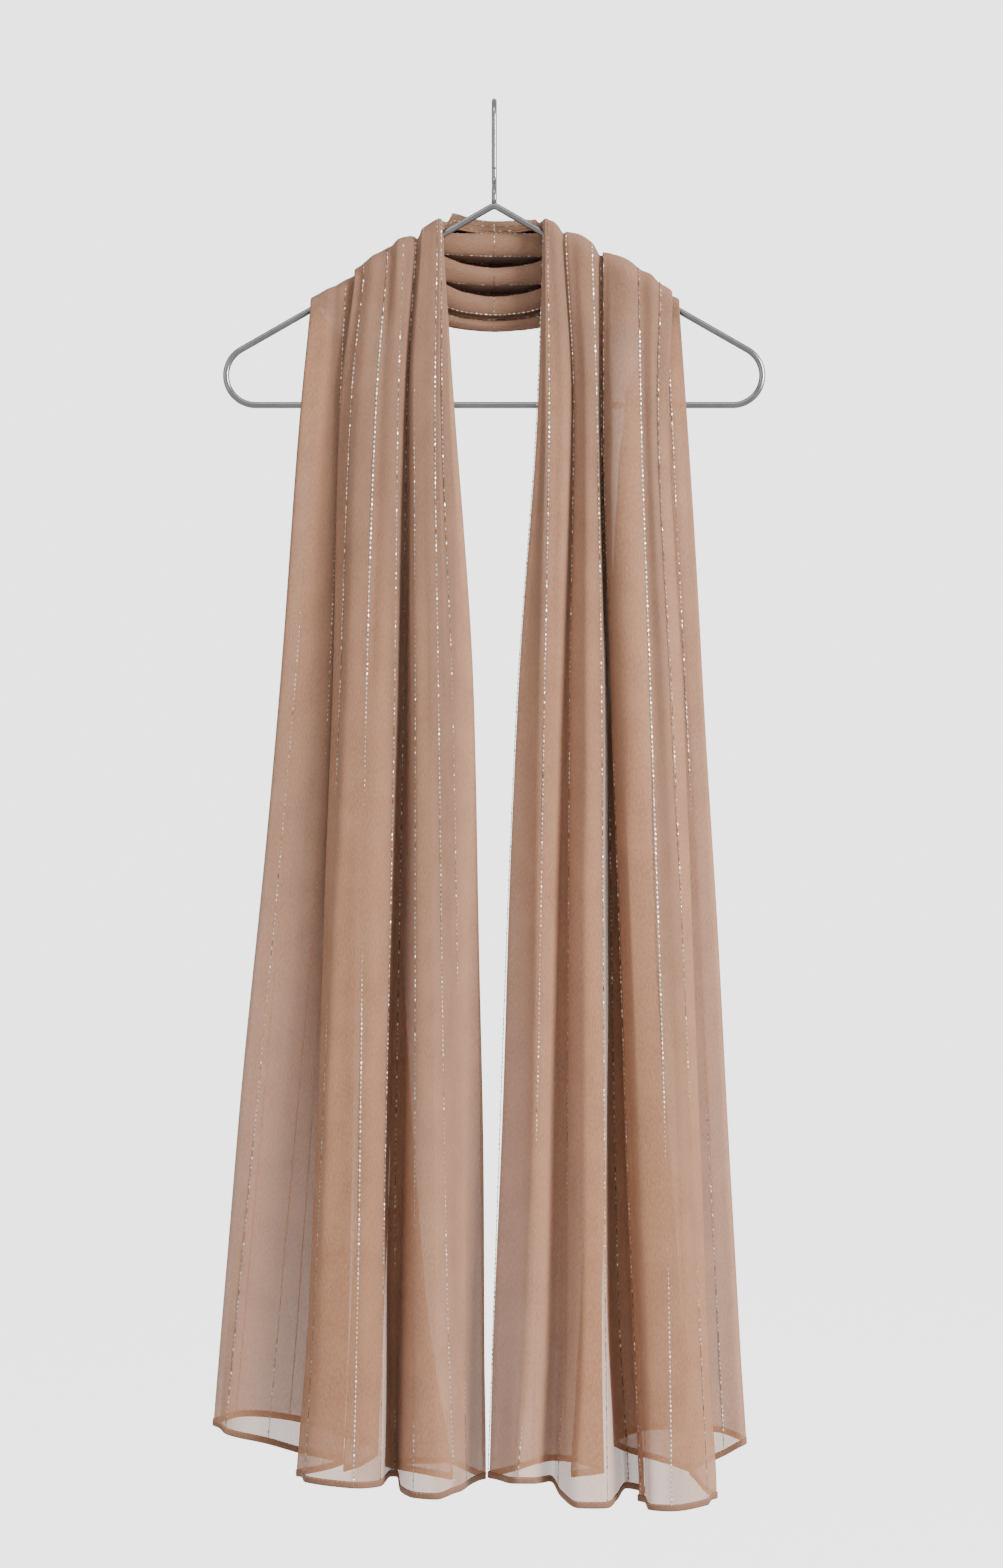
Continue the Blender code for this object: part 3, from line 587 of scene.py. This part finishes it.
# Points on an arc in a plane, angles in degrees
def arcPoints(centre, radius, first, last, count):
    angle = np.radians(np.linspace(first, last, count))
    return np.stack([centre[0] + radius * np.cos(angle), centre[1] + radius * np.sin(angle)], axis=1)


# A material with the given plain values on its shader's own sockets
def newMaterial(name, values):
    made = bpy.data.materials.new(name)
    made.use_nodes = True
    shader = made.node_tree.nodes["Principled BSDF"]
    for socket, value in values.items():
        shader.inputs[socket].default_value = value
    return made, made.node_tree, shader


def mathNode(tree, operation, first, second=None, third=None):
    made = tree.nodes.new("ShaderNodeMath")
    made.operation = operation
    for socket, value in zip(made.inputs, (first, second, third)):
        if value is None:
            continue
        if isinstance(value, (int, float)):
            socket.default_value = value
        else:
            tree.links.new(value, socket)
    return made.outputs[0]


# Everything a user would change in the weave
crepe = {
    "yarnsPerMetre": 1900.0,
    "wanderScale": 420.0,
    "wander": 9.0,
    "slant": math.radians(32),
    "grainScale": (620, 300, 1),
    "grainRelief": 2.2,
    "grainShade": 0.65,
    "cloudScale": 34.0,
    "cloudShade": 0.35,
}


# A noise texture, read at the given place
def noiseNode(tree, place, scale, detail):
    made = tree.nodes.new("ShaderNodeTexNoise")
    made.inputs["Scale"].default_value = scale
    made.inputs["Detail"].default_value = detail
    tree.links.new(place, made.inputs["Vector"])
    return made


# Crepe weave in the cloth's own coordinates: two crossed yarns, wandering, and a slanted grain.
# Height is the relief, Shade the grain's light and dark, Pores the openness between the yarns.
def makeWeaveGroup():
    group = bpy.data.node_groups.new("crepeWeave", "ShaderNodeTree")
    group.interface.new_socket("Place", in_out="INPUT", socket_type="NodeSocketVector")
    yarn = group.interface.new_socket("Yarns per metre", in_out="INPUT", socket_type="NodeSocketFloat")
    yarn.default_value = crepe["yarnsPerMetre"]
    for name in ("Height", "Shade", "Pores"):
        group.interface.new_socket(name, in_out="OUTPUT", socket_type="NodeSocketFloat")
    entry = group.nodes.new("NodeGroupInput")
    exitNode = group.nodes.new("NodeGroupOutput")
    split = group.nodes.new("ShaderNodeSeparateXYZ")
    group.links.new(entry.outputs["Place"], split.inputs[0])
    wander = noiseNode(group, entry.outputs["Place"], crepe["wanderScale"], 2.0)
    yarns = []
    for axis in (0, 1):
        turn = mathNode(group, "MULTIPLY", split.outputs[axis], entry.outputs["Yarns per metre"])
        turn = mathNode(group, "MULTIPLY_ADD", turn, 2 * math.pi, mathNode(
            group, "MULTIPLY", wander.outputs["Fac"], crepe["wander"]))
        yarns.append(mathNode(group, "MULTIPLY_ADD", mathNode(group, "SINE", turn), 0.5, 0.5))
    slant = group.nodes.new("ShaderNodeMapping")
    slant.inputs["Rotation"].default_value = (0, 0, crepe["slant"])
    slant.inputs["Scale"].default_value = crepe["grainScale"]
    group.links.new(entry.outputs["Place"], slant.inputs["Vector"])
    grain = noiseNode(group, slant.outputs[0], 1.0, 3.0)
    grain.inputs["Roughness"].default_value = 0.62
    cloudy = noiseNode(group, entry.outputs["Place"], crepe["cloudScale"], 3.0)
    relief = mathNode(group, "MAXIMUM", yarns[0], yarns[1])
    results = {
        "Height": mathNode(group, "MULTIPLY_ADD", grain.outputs["Fac"], crepe["grainRelief"], relief),
        "Shade": mathNode(group, "MULTIPLY_ADD", grain.outputs["Fac"], crepe["grainShade"], mathNode(
            group, "MULTIPLY", cloudy.outputs["Fac"], crepe["cloudShade"])),
        "Pores": mathNode(group, "SUBTRACT", 1.0, relief),
    }
    for name, result in results.items():
        group.links.new(result, exitNode.inputs[name])
    return group


def placeWeave(tree, group):
    uv = tree.nodes.new("ShaderNodeUVMap")
    uv.uv_map = "cloth"
    made = tree.nodes.new("ShaderNodeGroup")
    made.node_tree = group
    tree.links.new(uv.outputs[0], made.inputs["Place"])
    return made


def colourRamp(tree, factor, low, high, first=0.0, last=1.0):
    ramp = tree.nodes.new("ShaderNodeValToRGB")
    ramp.color_ramp.elements[0].position = first
    ramp.color_ramp.elements[1].position = last
    ramp.color_ramp.elements[0].color = (*low, 1.0)
    ramp.color_ramp.elements[1].color = (*high, 1.0)
    tree.links.new(factor, ramp.inputs[0])
    return ramp.outputs[0]


def bumpNode(tree, height, strength, distance):
    made = tree.nodes.new("ShaderNodeBump")
    made.inputs["Strength"].default_value = strength
    made.inputs["Distance"].default_value = distance
    tree.links.new(height, made.inputs["Height"])
    return made.outputs[0]


# Sheer cloth: one layer hides a fixed share of what is behind, more where it is gathered
def makeGeorgette(weave):
    made, tree, shader = newMaterial("georgetteCloth", {
        "Roughness": scarf["roughness"],
        "Specular IOR Level": scarf["gloss"],
        "Sheen Weight": scarf["sheen"],
        "Sheen Roughness": 0.4,
        "Sheen Tint": scarf["sheenTint"],
    })
    woven = placeWeave(tree, weave)
    stacked = tree.nodes.new("ShaderNodeAttribute")
    stacked.attribute_name = "layers"
    shade = woven.outputs["Shade"]
    thin = colourRamp(tree, shade, scarf["thinShade"], scarf["thinColour"], *scarf["grainSpan"])
    deep = colourRamp(tree, shade, scarf["deepShade"], scarf["deepColour"], *scarf["grainSpan"])
    blend = tree.nodes.new("ShaderNodeMix")
    blend.data_type = "RGBA"
    deeper = mathNode(tree, "MULTIPLY_ADD", stacked.outputs["Fac"], 0.5, -0.5)
    tree.links.new(deeper, blend.inputs["Factor"])
    tree.links.new(thin, blend.inputs["A"])
    tree.links.new(deep, blend.inputs["B"])
    tree.links.new(blend.outputs["Result"], shader.inputs["Base Color"])
    tree.links.new(bumpNode(tree, woven.outputs["Height"], *scarf["relief"]), shader.inputs["Normal"])
    layers = mathNode(tree, "MULTIPLY", stacked.outputs["Fac"], mathNode(
        tree, "MULTIPLY_ADD", woven.outputs["Pores"], -scarf["poreShare"], 1.12))
    clear = mathNode(tree, "POWER", 1 - scarf["opacity"], layers)
    tree.links.new(mathNode(tree, "SUBTRACT", 1.0, clear), shader.inputs["Alpha"])
    return made


def makeHemCloth(weave):
    made, tree, shader = newMaterial("hemCloth", {
        "Roughness": 0.8, "Specular IOR Level": scarf["gloss"], "Sheen Weight": 0.1})
    woven = placeWeave(tree, weave)
    colour = colourRamp(tree, woven.outputs["Shade"], sewing["shade"], sewing["colour"],
                        *scarf["grainSpan"])
    tree.links.new(colour, shader.inputs["Base Color"])
    tree.links.new(bumpNode(tree, woven.outputs["Height"], 0.3, 0.00015), shader.inputs["Normal"])
    return made


# The thread's colour runs from its dull bronze to a painted silver glint, by each bead's glint value
def makeMetalThread():
    made, tree, shader = newMaterial("metalThread", {"Metallic": 0.55, "Roughness": 0.3})
    glint = tree.nodes.new("ShaderNodeAttribute")
    glint.attribute_name = "glint"
    colour = colourRamp(tree, glint.outputs["Fac"], threads["bronze"], threads["glintSilver"], 0.1, 0.85)
    tree.links.new(colour, shader.inputs["Base Color"])
    return made


def makeBrightSteel():
    made, tree, shader = newMaterial("brightSteel", {"Metallic": 1.0})
    where = tree.nodes.new("ShaderNodeTexCoord")
    rubbed = noiseNode(tree, where.outputs["Object"], hanger["rubbedScale"], 4.0)
    duller = tuple(hanger["rubbedShare"] * c for c in hanger["colour"])
    colour = colourRamp(tree, rubbed.outputs["Fac"], duller, hanger["colour"], 0.35, 0.65)
    tree.links.new(colour, shader.inputs["Base Color"])
    spread = hanger["roughnessSpread"]
    rough = mathNode(tree, "MULTIPLY_ADD", rubbed.outputs["Fac"], spread, hanger["roughness"] - spread / 2)
    tree.links.new(rough, shader.inputs["Roughness"])
    tree.links.new(bumpNode(tree, rubbed.outputs["Fac"], 0.06, 0.0002), shader.inputs["Normal"])
    return made


# The frame: two arms from the apex, an end bend each and the bottom bar, as one closed tube
def makeFrameWire(finish):
    slope = math.degrees(hanger["armSlope"])
    half = (hanger["width"] - hanger["frameWire"]) / 2
    cosine = math.cos(hanger["armSlope"])
    sine = math.sin(hanger["armSlope"])
    bend = hanger["barDrop"] - hanger["apexDrop"] - math.tan(hanger["armSlope"]) * half
    bend *= cosine / (1 + cosine - sine)
    centre = np.array((half - bend, bend - hanger["barDrop"]))
    apex = (0.0, -hanger["apexDrop"] - hanger["apexBend"] / cosine)
    top = arcPoints(apex, hanger["apexBend"], 90 + slope, 90 - slope, 13)
    end = arcPoints(centre, bend, 90 - slope, -90, 44)
    arm = top[-1] + (end[0] - top[-1]) * np.linspace(0, 1, 14)[1:-1, None]
    bar = end[-1] * np.stack([np.linspace(1, -1, 28)[1:-1], np.ones(26)], axis=1)
    mirror = np.array((-1, 1))
    outline = np.concatenate([top, arm, end, bar, (end * mirror)[::-1], (arm * mirror)[::-1]])
    path = np.stack([outline[:, 0], np.zeros(len(outline)), outline[:, 1]], axis=1)[None]
    side = np.broadcast_to((0.0, 1.0, 0.0), path.shape)
    radius = np.full(path.shape[:2], hanger["frameWire"] / 2)
    points, faces = tubes(path, side, radius, radius, hanger["sides"], closed=True)
    piece = meshPiece("frame_wire", points, faces, finish)
    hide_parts("hanger_frame")


# The hook: up from the apex, back by two bends, over the rail and down in front to a round tip
def makeHookWire(finish):
    wire = hanger["hookWire"]
    reach = hanger["hookInside"] + wire / 2
    top = wire / 2 - reach
    bend = hanger["hookBend"]
    crown = -hanger["apexDrop"] - hanger["apexBend"] / math.cos(hanger["armSlope"]) + hanger["apexBend"]
    seat = crown + hanger["frameWire"] / 2 + hanger["stemGap"]
    foot = crown + hanger["frameWire"] / 2 - hanger["stemSunk"]
    halfBend = math.degrees(math.acos(1 - reach / 2 / bend))
    first = arcPoints((bend, seat + wire), bend, 180, 180 - halfBend, 16)
    second = np.stack([reach - first[:, 0], 2 * first[-1, 1] - first[:, 1]], axis=1)[-2::-1]
    loop = arcPoints((0.0, top), reach, 0, 180, 60)
    shank = second[-1] + (loop[0] - second[-1]) * np.linspace(0, 1, 8)[1:-1, None]
    foremost = np.array((-reach, -hanger["hookTipDrop"]))
    leg = loop[-1] + (foremost - loop[-1]) * np.linspace(0, 1, 10)[1:, None]
    bow = np.linspace(hanger["tipStart"], math.pi / 2, 7)
    tip = foremost + np.stack([np.zeros(len(bow)), -wire / 2 * np.sin(bow)], axis=1)
    outline = np.concatenate([[(0.0, foot)], first, second, shank, loop, leg, tip])
    outline[-len(leg) - len(tip):, 1] += wire / 2 * np.linspace(0, 1, len(leg) + len(tip))
    path = np.stack([np.zeros(len(outline)), outline[:, 0], outline[:, 1]], axis=1)[None]
    side = np.broadcast_to((1.0, 0.0, 0.0), path.shape)
    radius = np.full(path.shape[:2], wire / 2)
    radius[0, -len(tip):] = wire / 2 * np.maximum(np.cos(bow), 0.04)
    points, faces = tubes(path, side, radius, radius, hanger["sides"])
    piece = meshPiece("hook_wire", points, faces, finish)
    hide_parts("hanger_hook")


# The cloth as one thin sheet on the solids' middle surface, with creases and slow waves on it
def makeCloth(left, right, neck, finish):
    cloth = np.linspace(0, scarf["width"], scarf["columns"])
    down = scarf["rowsDown"]
    grid = scarfRows(left, right, neck, cloth, down, scarf["rowsOver"], scarf["rowsNeck"])
    normal = gridNormals(grid)
    reach = 1 / gathering(grid, cloth)
    layers = layering(grid, cloth, normal)
    drop = -grid[:, :, 2]
    height = np.zeros(drop.shape)
    over = down + scarf["rowsOver"] + 6
    fade = np.linspace(1, 0, over - down)[:, None]
    height[:over] = creaseHeight(leftCreases, cloth, drop[:over])
    height[-over:] = creaseHeight(rightCreases, cloth, drop[-over:])
    height[down:over] *= fade
    height[-over:-down] *= fade[::-1]
    step = np.linalg.norm(np.diff(grid, axis=0), axis=2).mean(axis=1)
    along = np.concatenate([[0], np.cumsum(step)])
    hold = np.clip((drop - 150) / 160, 0, 1) * np.clip((1010 - drop) / 60, 0, 1)
    height += slowWaves(cloth, along[:, None]) * hold
    height *= np.maximum(reach, 0.6)
    height[:down] += hiddenGathers(scarf["hiddenLeft"], cloth, drop[:down], reach[:down])
    height[-down:] += hiddenGathers(scarf["hiddenRight"], cloth, drop[-down:], reach[-down:])
    grid = grid + normal * height[:, :, None]
    uv = np.stack(np.broadcast_arrays(cloth[None, :] * mm, along[:, None] * mm), axis=2)
    faces = gridFaces(*grid.shape[:2])[:, ::-1].tolist()
    piece = meshPiece("scarf_cloth", grid, faces, finish, uv, {"layers": layers})
    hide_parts("scarf_neck", "scarf_left_fall", "scarf_right_fall")
    return piece


weave = makeWeaveGroup()
georgette = makeGeorgette(weave)
hemCloth = makeHemCloth(weave)
metalThread = makeMetalThread()
brightSteel = makeBrightSteel()
print("scarf: finishes made")

left = readTable(foldColumns, leftFolds)
right = readTable(foldColumns, rightFolds)
neck = readTable(neckColumns, neckFolds)

makeFrameWire(brightSteel)
makeHookWire(brightSteel)
clothPiece = makeCloth(left, right, neck, georgette)
print("scarf: cloth and wire made")


# Each axis of the rows read off at given lengths along them
def readAlong(at, along, rows):
    return np.stack([np.interp(at, along, rows[:, axis]) for axis in range(3)], axis=1)


# Where each thread runs, at even steps of its own length, with the cloth's normal there
def threadPaths(cloth, step, first, last):
    fine = scarfRows(left, right, neck, cloth, 620, 20, 520, 1.0)
    beside = scarfRows(left, right, neck, cloth + 0.6, 620, 20, 520, 1.0)
    normal = np.cross(beside - fine, np.gradient(fine, axis=0))
    normal /= np.maximum(np.linalg.norm(normal, axis=2), 1e-9)[:, :, None]
    pace = np.linalg.norm(np.diff(fine, axis=0), axis=2)
    along = np.concatenate([np.zeros((1, len(cloth))), np.cumsum(pace, axis=0)])
    paths = []
    sides = []
    for i in range(len(cloth)):
        low = along[:, i].max() * first
        high = along[:, i].max() * last
        at = np.linspace(low, high, int((high - low) / step))
        paths.append(readAlong(at, along[:, i], fine[:, i]))
        sides.append(readAlong(at, along[:, i], normal[:, i]))
    return paths, sides


beadRings = 4
beadSides = 4


# A chain: flat beads on a thin tie, each bead larger or smaller, with more or less painted glint, and
# turned a little. The stronger the thread, the wider its beads and the more of them are painted silver as
# a glint.
def makeThreads(name, paths, sides, strengths, finish):
    chance = np.random.default_rng(len(name) * 7 + len(paths))
    allPoints = []
    allFaces = []
    allGlints = []
    start = 0
    for path, side, strength in zip(paths, sides, strengths):
        beads = len(path) // beadRings
        size = chance.uniform(*threads["beadSize"], beads)
        size = size * np.where(chance.random(beads) < threads["smallBeads"], 0.4, 1.0)
        shape = np.stack([np.full(beads, 0.0), size, size, np.full(beads, 0.0)], axis=1).ravel()
        tie = np.interp(strength, (0, 1), threads["tieWide"])
        wide = tie + (np.interp(strength, (0, 1), threads["beadWide"]) - tie) * shape
        thick = tie + (np.interp(strength, (0, 1), threads["beadThick"]) - tie) * shape
        twist = np.repeat(chance.normal(0, threads["beadTwist"], beads), beadRings)[None, :, None]
        # each bead's painted glint; the tie at its ends gets less of it and is darker
        glint = np.clip(chance.normal(0.1 + 0.75 * strength, 0.2, beads), 0, 1)
        glint = np.stack([glint * 0.4, glint, glint, glint * 0.4], axis=1).ravel()
        count = beads * beadRings
        points, faces = tubes(path[None, :count], side[None, :count], wide[None], thick[None],
                              beadSides, twist)
        allPoints.append(points.reshape(-1, 3))
        allFaces += [[corner + start for corner in face] for face in faces]
        allGlints.append(np.repeat(glint, beadSides))
        start += count * beadSides
    piece = meshPiece(name, np.concatenate(allPoints), allFaces, finish,
                      values={"glint": np.concatenate(allGlints)}, smooth=False)
    return piece


# The crosswise thread in the middle of the scarf, along the folds behind the neck
def middlePath(step):
    cloth = np.linspace(14, scarf["width"] - 8, 1400)
    near = neckRows(left, right, neck, cloth, 2001)
    row = near[1000]
    normal = np.cross(np.gradient(row, axis=0), (1.0, 0.0, 0.0))
    normal /= np.linalg.norm(normal, axis=1)[:, None]
    pace = np.concatenate([[0], np.cumsum(np.linalg.norm(np.diff(row, axis=0), axis=1))])
    at = np.linspace(0, pace[-1], int(pace[-1] / step))
    return readAlong(at, pace, row), readAlong(at, pace, normal)


threadPlaces = threads["spacing"] * (np.arange(threads["count"]) + 0.5)
beadStep = threads["pitch"] / beadRings
for name, first, last in (("left", 0.0, 0.42), ("neck", 0.42, 0.58), ("right", 0.58, 1.0)):
    paths, sides = threadPaths(threadPlaces, beadStep, first, last)
    makeThreads("threads_" + name, paths, sides, threads[name], metalThread)
crosswise, crosswiseSide = middlePath(beadStep)
makeThreads("thread_crosswise", [crosswise], [crosswiseSide],
                                [threads["crosswise"]], metalThread)
print("scarf: metallic threads made")


# The turned hem: a flat loop round the cloth's end, rounded below, carried across the scarf
def makeHem(name, folds, node, finish):
    cloth = np.linspace(0, scarf["width"], sewing["hemColumns"])
    depth = scarf["hemDepth"]
    trims = np.array((depth, depth * 0.6, depth * 0.25, 0.05))
    rows = np.stack([fallRows(folds, cloth, [1.0], trim)[0] for trim in trims])
    tangent = np.gradient(rows[0], axis=0)
    normal = np.cross(tangent, (0.0, 0.0, -1.0))
    normal /= np.linalg.norm(normal, axis=1)[:, None]
    puff = np.array((0.7, 1.0, 0.95, 0.45))[:, None, None] * sewing["hemThick"] / 2
    wave = np.sin(cloth * 2 * math.pi / sewing["stitchPitch"] / 2.3)
    pucker = (1 + sewing["pucker"] * wave)[None, :, None]
    front = rows + normal[None] * puff * pucker
    back = (rows - normal[None] * puff * pucker)[::-1]
    ring = np.concatenate([front, back]).transpose(1, 0, 2)
    sides = ring.shape[1]
    faces = gridFaces(len(cloth), sides, True).tolist()
    faces.append(list(range(sides))[::-1])
    last = (len(cloth) - 1) * sides
    faces.append(list(range(last, last + sides)))
    across = np.repeat(cloth[:, None], sides, axis=1) * mm
    up = np.broadcast_to(np.concatenate([trims, -trims[::-1]])[None, :] * mm, across.shape)
    piece = meshPiece(name, ring, faces, finish, np.stack([across, up], axis=2))
    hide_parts(node)
    return piece


# Short stitches in a row on both faces of the hem, near its upper edge
def makeStitches(name, folds, finish):
    count = int(scarf["width"] / sewing["stitchPitch"]) - 1
    centre = (np.arange(count) + 0.8) * sewing["stitchPitch"]
    ends = np.array((-0.5, -0.25, 0.25, 0.5)) * sewing["stitchLength"]
    cloth = (centre[:, None] + ends[None, :]).ravel()
    up = scarf["hemDepth"] - sewing["stitchInset"]
    row = fallRows(folds, cloth, [1.0], up)[0]
    ahead = fallRows(folds, cloth + 0.4, [1.0], up)[0]
    normal = np.cross(ahead - row, (0.0, 0.0, -1.0))
    normal /= np.linalg.norm(normal, axis=1)[:, None]
    sink = np.tile((-0.25, 0.06, 0.06, -0.25), count)[:, None] + sewing["hemThick"] / 2
    paths = np.concatenate([(row + normal * sink).reshape(count, 4, 3),
                            (row - normal * sink).reshape(count, 4, 3)])
    sides = np.concatenate([normal.reshape(count, 4, 3)] * 2)
    radius = np.full(paths.shape[:2], sewing["stitchRadius"])
    points, faces = tubes(paths, sides, radius, radius, 5)
    piece = meshPiece(name, points, faces, finish)
    return piece


# The rolled long edges: a thin roll along the first and the last thread
def makeRolledEdges(finish):
    cloth = np.array((0.0, scarf["width"] - 0.7))
    paths, sides = threadPaths(cloth, sewing["rollStep"], 0.0, 1.0)
    pieces = []
    for name, path, side in zip(("rolled_edge_inner", "rolled_edge_outer"), paths, sides):
        ripple = 1 + sewing["rollRipple"] * np.sin(np.arange(len(path)) * 1.9)
        radius = (sewing["rollRadius"] * ripple)[None]
        points, faces = tubes(path[None], side[None], radius, radius, 8)
        turn = np.linspace(0, 0.004, 8)
        along = np.arange(len(path)) * sewing["rollStep"] * mm
        uv = np.stack(np.meshgrid(along, turn, indexing="ij"), axis=2)
        pieces.append(meshPiece(name, points, faces, finish, uv))
    return pieces


seamThread = newMaterial("sewingThread", {"Base Color": sewing["threadColour"], "Roughness": 0.6})[0]
hems = [
    makeHem("hem_strip_left", left, "hem_left", hemCloth),
    makeHem("hem_strip_right", right, "hem_right", hemCloth),
]
stitches = [
    makeStitches("stitches_left", left, seamThread),
    makeStitches("stitches_right", right, seamThread),
]
rolledEdges = makeRolledEdges(hemCloth)
print("scarf: sewing made")


# Everything a user would change in the studio
studio = {
    "room": 0.84,
    "glow": 2.6,
    "key": 118.0,
    "fill": 8.0,
    "top": 10.0,
    "floorLevel": -1.32,
    "floorBend": 0.9,
    "wallRadius": 4.6,
    "wallHeight": 4.2,
    "spokes": 96,
    "floorColour": (0.42, 0.415, 0.41, 1.0),
    "glowColour": (1.0, 0.992, 0.988, 1.0),
    "roomColour": (1.0, 0.99, 0.985, 1.0),
    "lens": 67.2,
    "cameraPlace": (0.0055, -2.2, -0.511),
}


# A round floor that rises in a soft curve to a plain pale wall all round. It is evenly lit by its
# own faint glow, and it keeps no light from the scarf.
def makeBackdrop():
    made = newMaterial("paleFloor", {
        "Base Color": studio["floorColour"],
        "Roughness": 0.9,
        "Emission Color": studio["glowColour"],
        "Emission Strength": studio["glow"],
    })[0]
    turn = np.linspace(0, math.pi / 2, 20)
    bend = studio["floorBend"]
    wall = studio["wallRadius"]
    reach = np.concatenate([[1.2, 2.4], wall - bend + bend * np.sin(turn), [wall]])
    rise = np.concatenate([[0, 0], bend - bend * np.cos(turn), [studio["wallHeight"]]])
    spokes = studio["spokes"]
    angle = np.linspace(0, 2 * math.pi, spokes, endpoint=False)
    ring = np.stack([np.cos(angle), np.sin(angle)], axis=1)
    points = np.concatenate([ring[None] * reach[:, None, None], np.broadcast_to(
        (rise + studio["floorLevel"])[:, None, None], (len(rise), spokes, 1))], axis=2)
    faces = gridFaces(len(reach), spokes, True)[:, ::-1].tolist()
    faces.append(list(range(spokes)))
    mesh = bpy.data.meshes.new("backdrop")
    mesh.from_pydata(points.reshape(-1, 3).tolist(), [], faces)
    mesh.polygons.foreach_set("use_smooth", [True] * len(mesh.polygons))
    mesh.materials.append(made)
    piece = bpy.data.objects.new("backdrop", mesh)
    piece.visible_diffuse = False
    piece.visible_glossy = False
    piece.visible_shadow = False
    bpy.context.scene.collection.objects.link(piece)


# A soft rectangular lamp that looks from its place at a target
def makeLight(name, place, target, size, power, colour):
    lamp = bpy.data.lights.new(name, "AREA")
    lamp.shape = "RECTANGLE"
    lamp.size = size[0]
    lamp.size_y = size[1]
    lamp.energy = power
    lamp.color = colour
    piece = bpy.data.objects.new(name, lamp)
    piece.location = place
    piece.visible_camera = False
    aim = np.array(target) - np.array(place)
    flat = math.hypot(aim[0], aim[1])
    piece.rotation_euler = (math.atan2(flat, -aim[2]), 0, math.atan2(aim[1], aim[0]) - math.pi / 2)
    bpy.context.scene.collection.objects.link(piece)


# The camera looks level along +Y, at the photograph's distance
def makeCamera():
    lens = bpy.data.cameras.new("camera")
    lens.lens = studio["lens"]
    lens.sensor_width = 36.0
    lens.dof.use_dof = False
    piece = bpy.data.objects.new("camera", lens)
    piece.location = studio["cameraPlace"]
    piece.rotation_euler = (math.pi / 2, 0, 0)
    bpy.context.scene.collection.objects.link(piece)
    bpy.context.scene.camera = piece


# Soft light from all round
def makeRoom():
    room = bpy.data.worlds.new("studio")
    room.use_nodes = True
    bpy.context.scene.world = room
    light = room.node_tree.nodes["Background"]
    light.inputs[0].default_value = studio["roomColour"]
    light.inputs[1].default_value = studio["room"]


makeRoom()
makeBackdrop()
middle = (0, 0, -0.5)
makeLight("key", (2.0, -1.35, 0.3), middle, (0.9, 1.5), studio["key"], (1.0, 0.985, 0.965))
makeLight("fill", (-1.8, -1.6, 0.1), middle, (1.4, 1.6), studio["fill"], (0.97, 0.985, 1.0))
makeLight("top", (0, -0.9, 1.3), (0, 0, -0.1), (2.2, 0.5), studio["top"], (1.0, 1.0, 1.0))
makeCamera()
print("scarf: studio made")
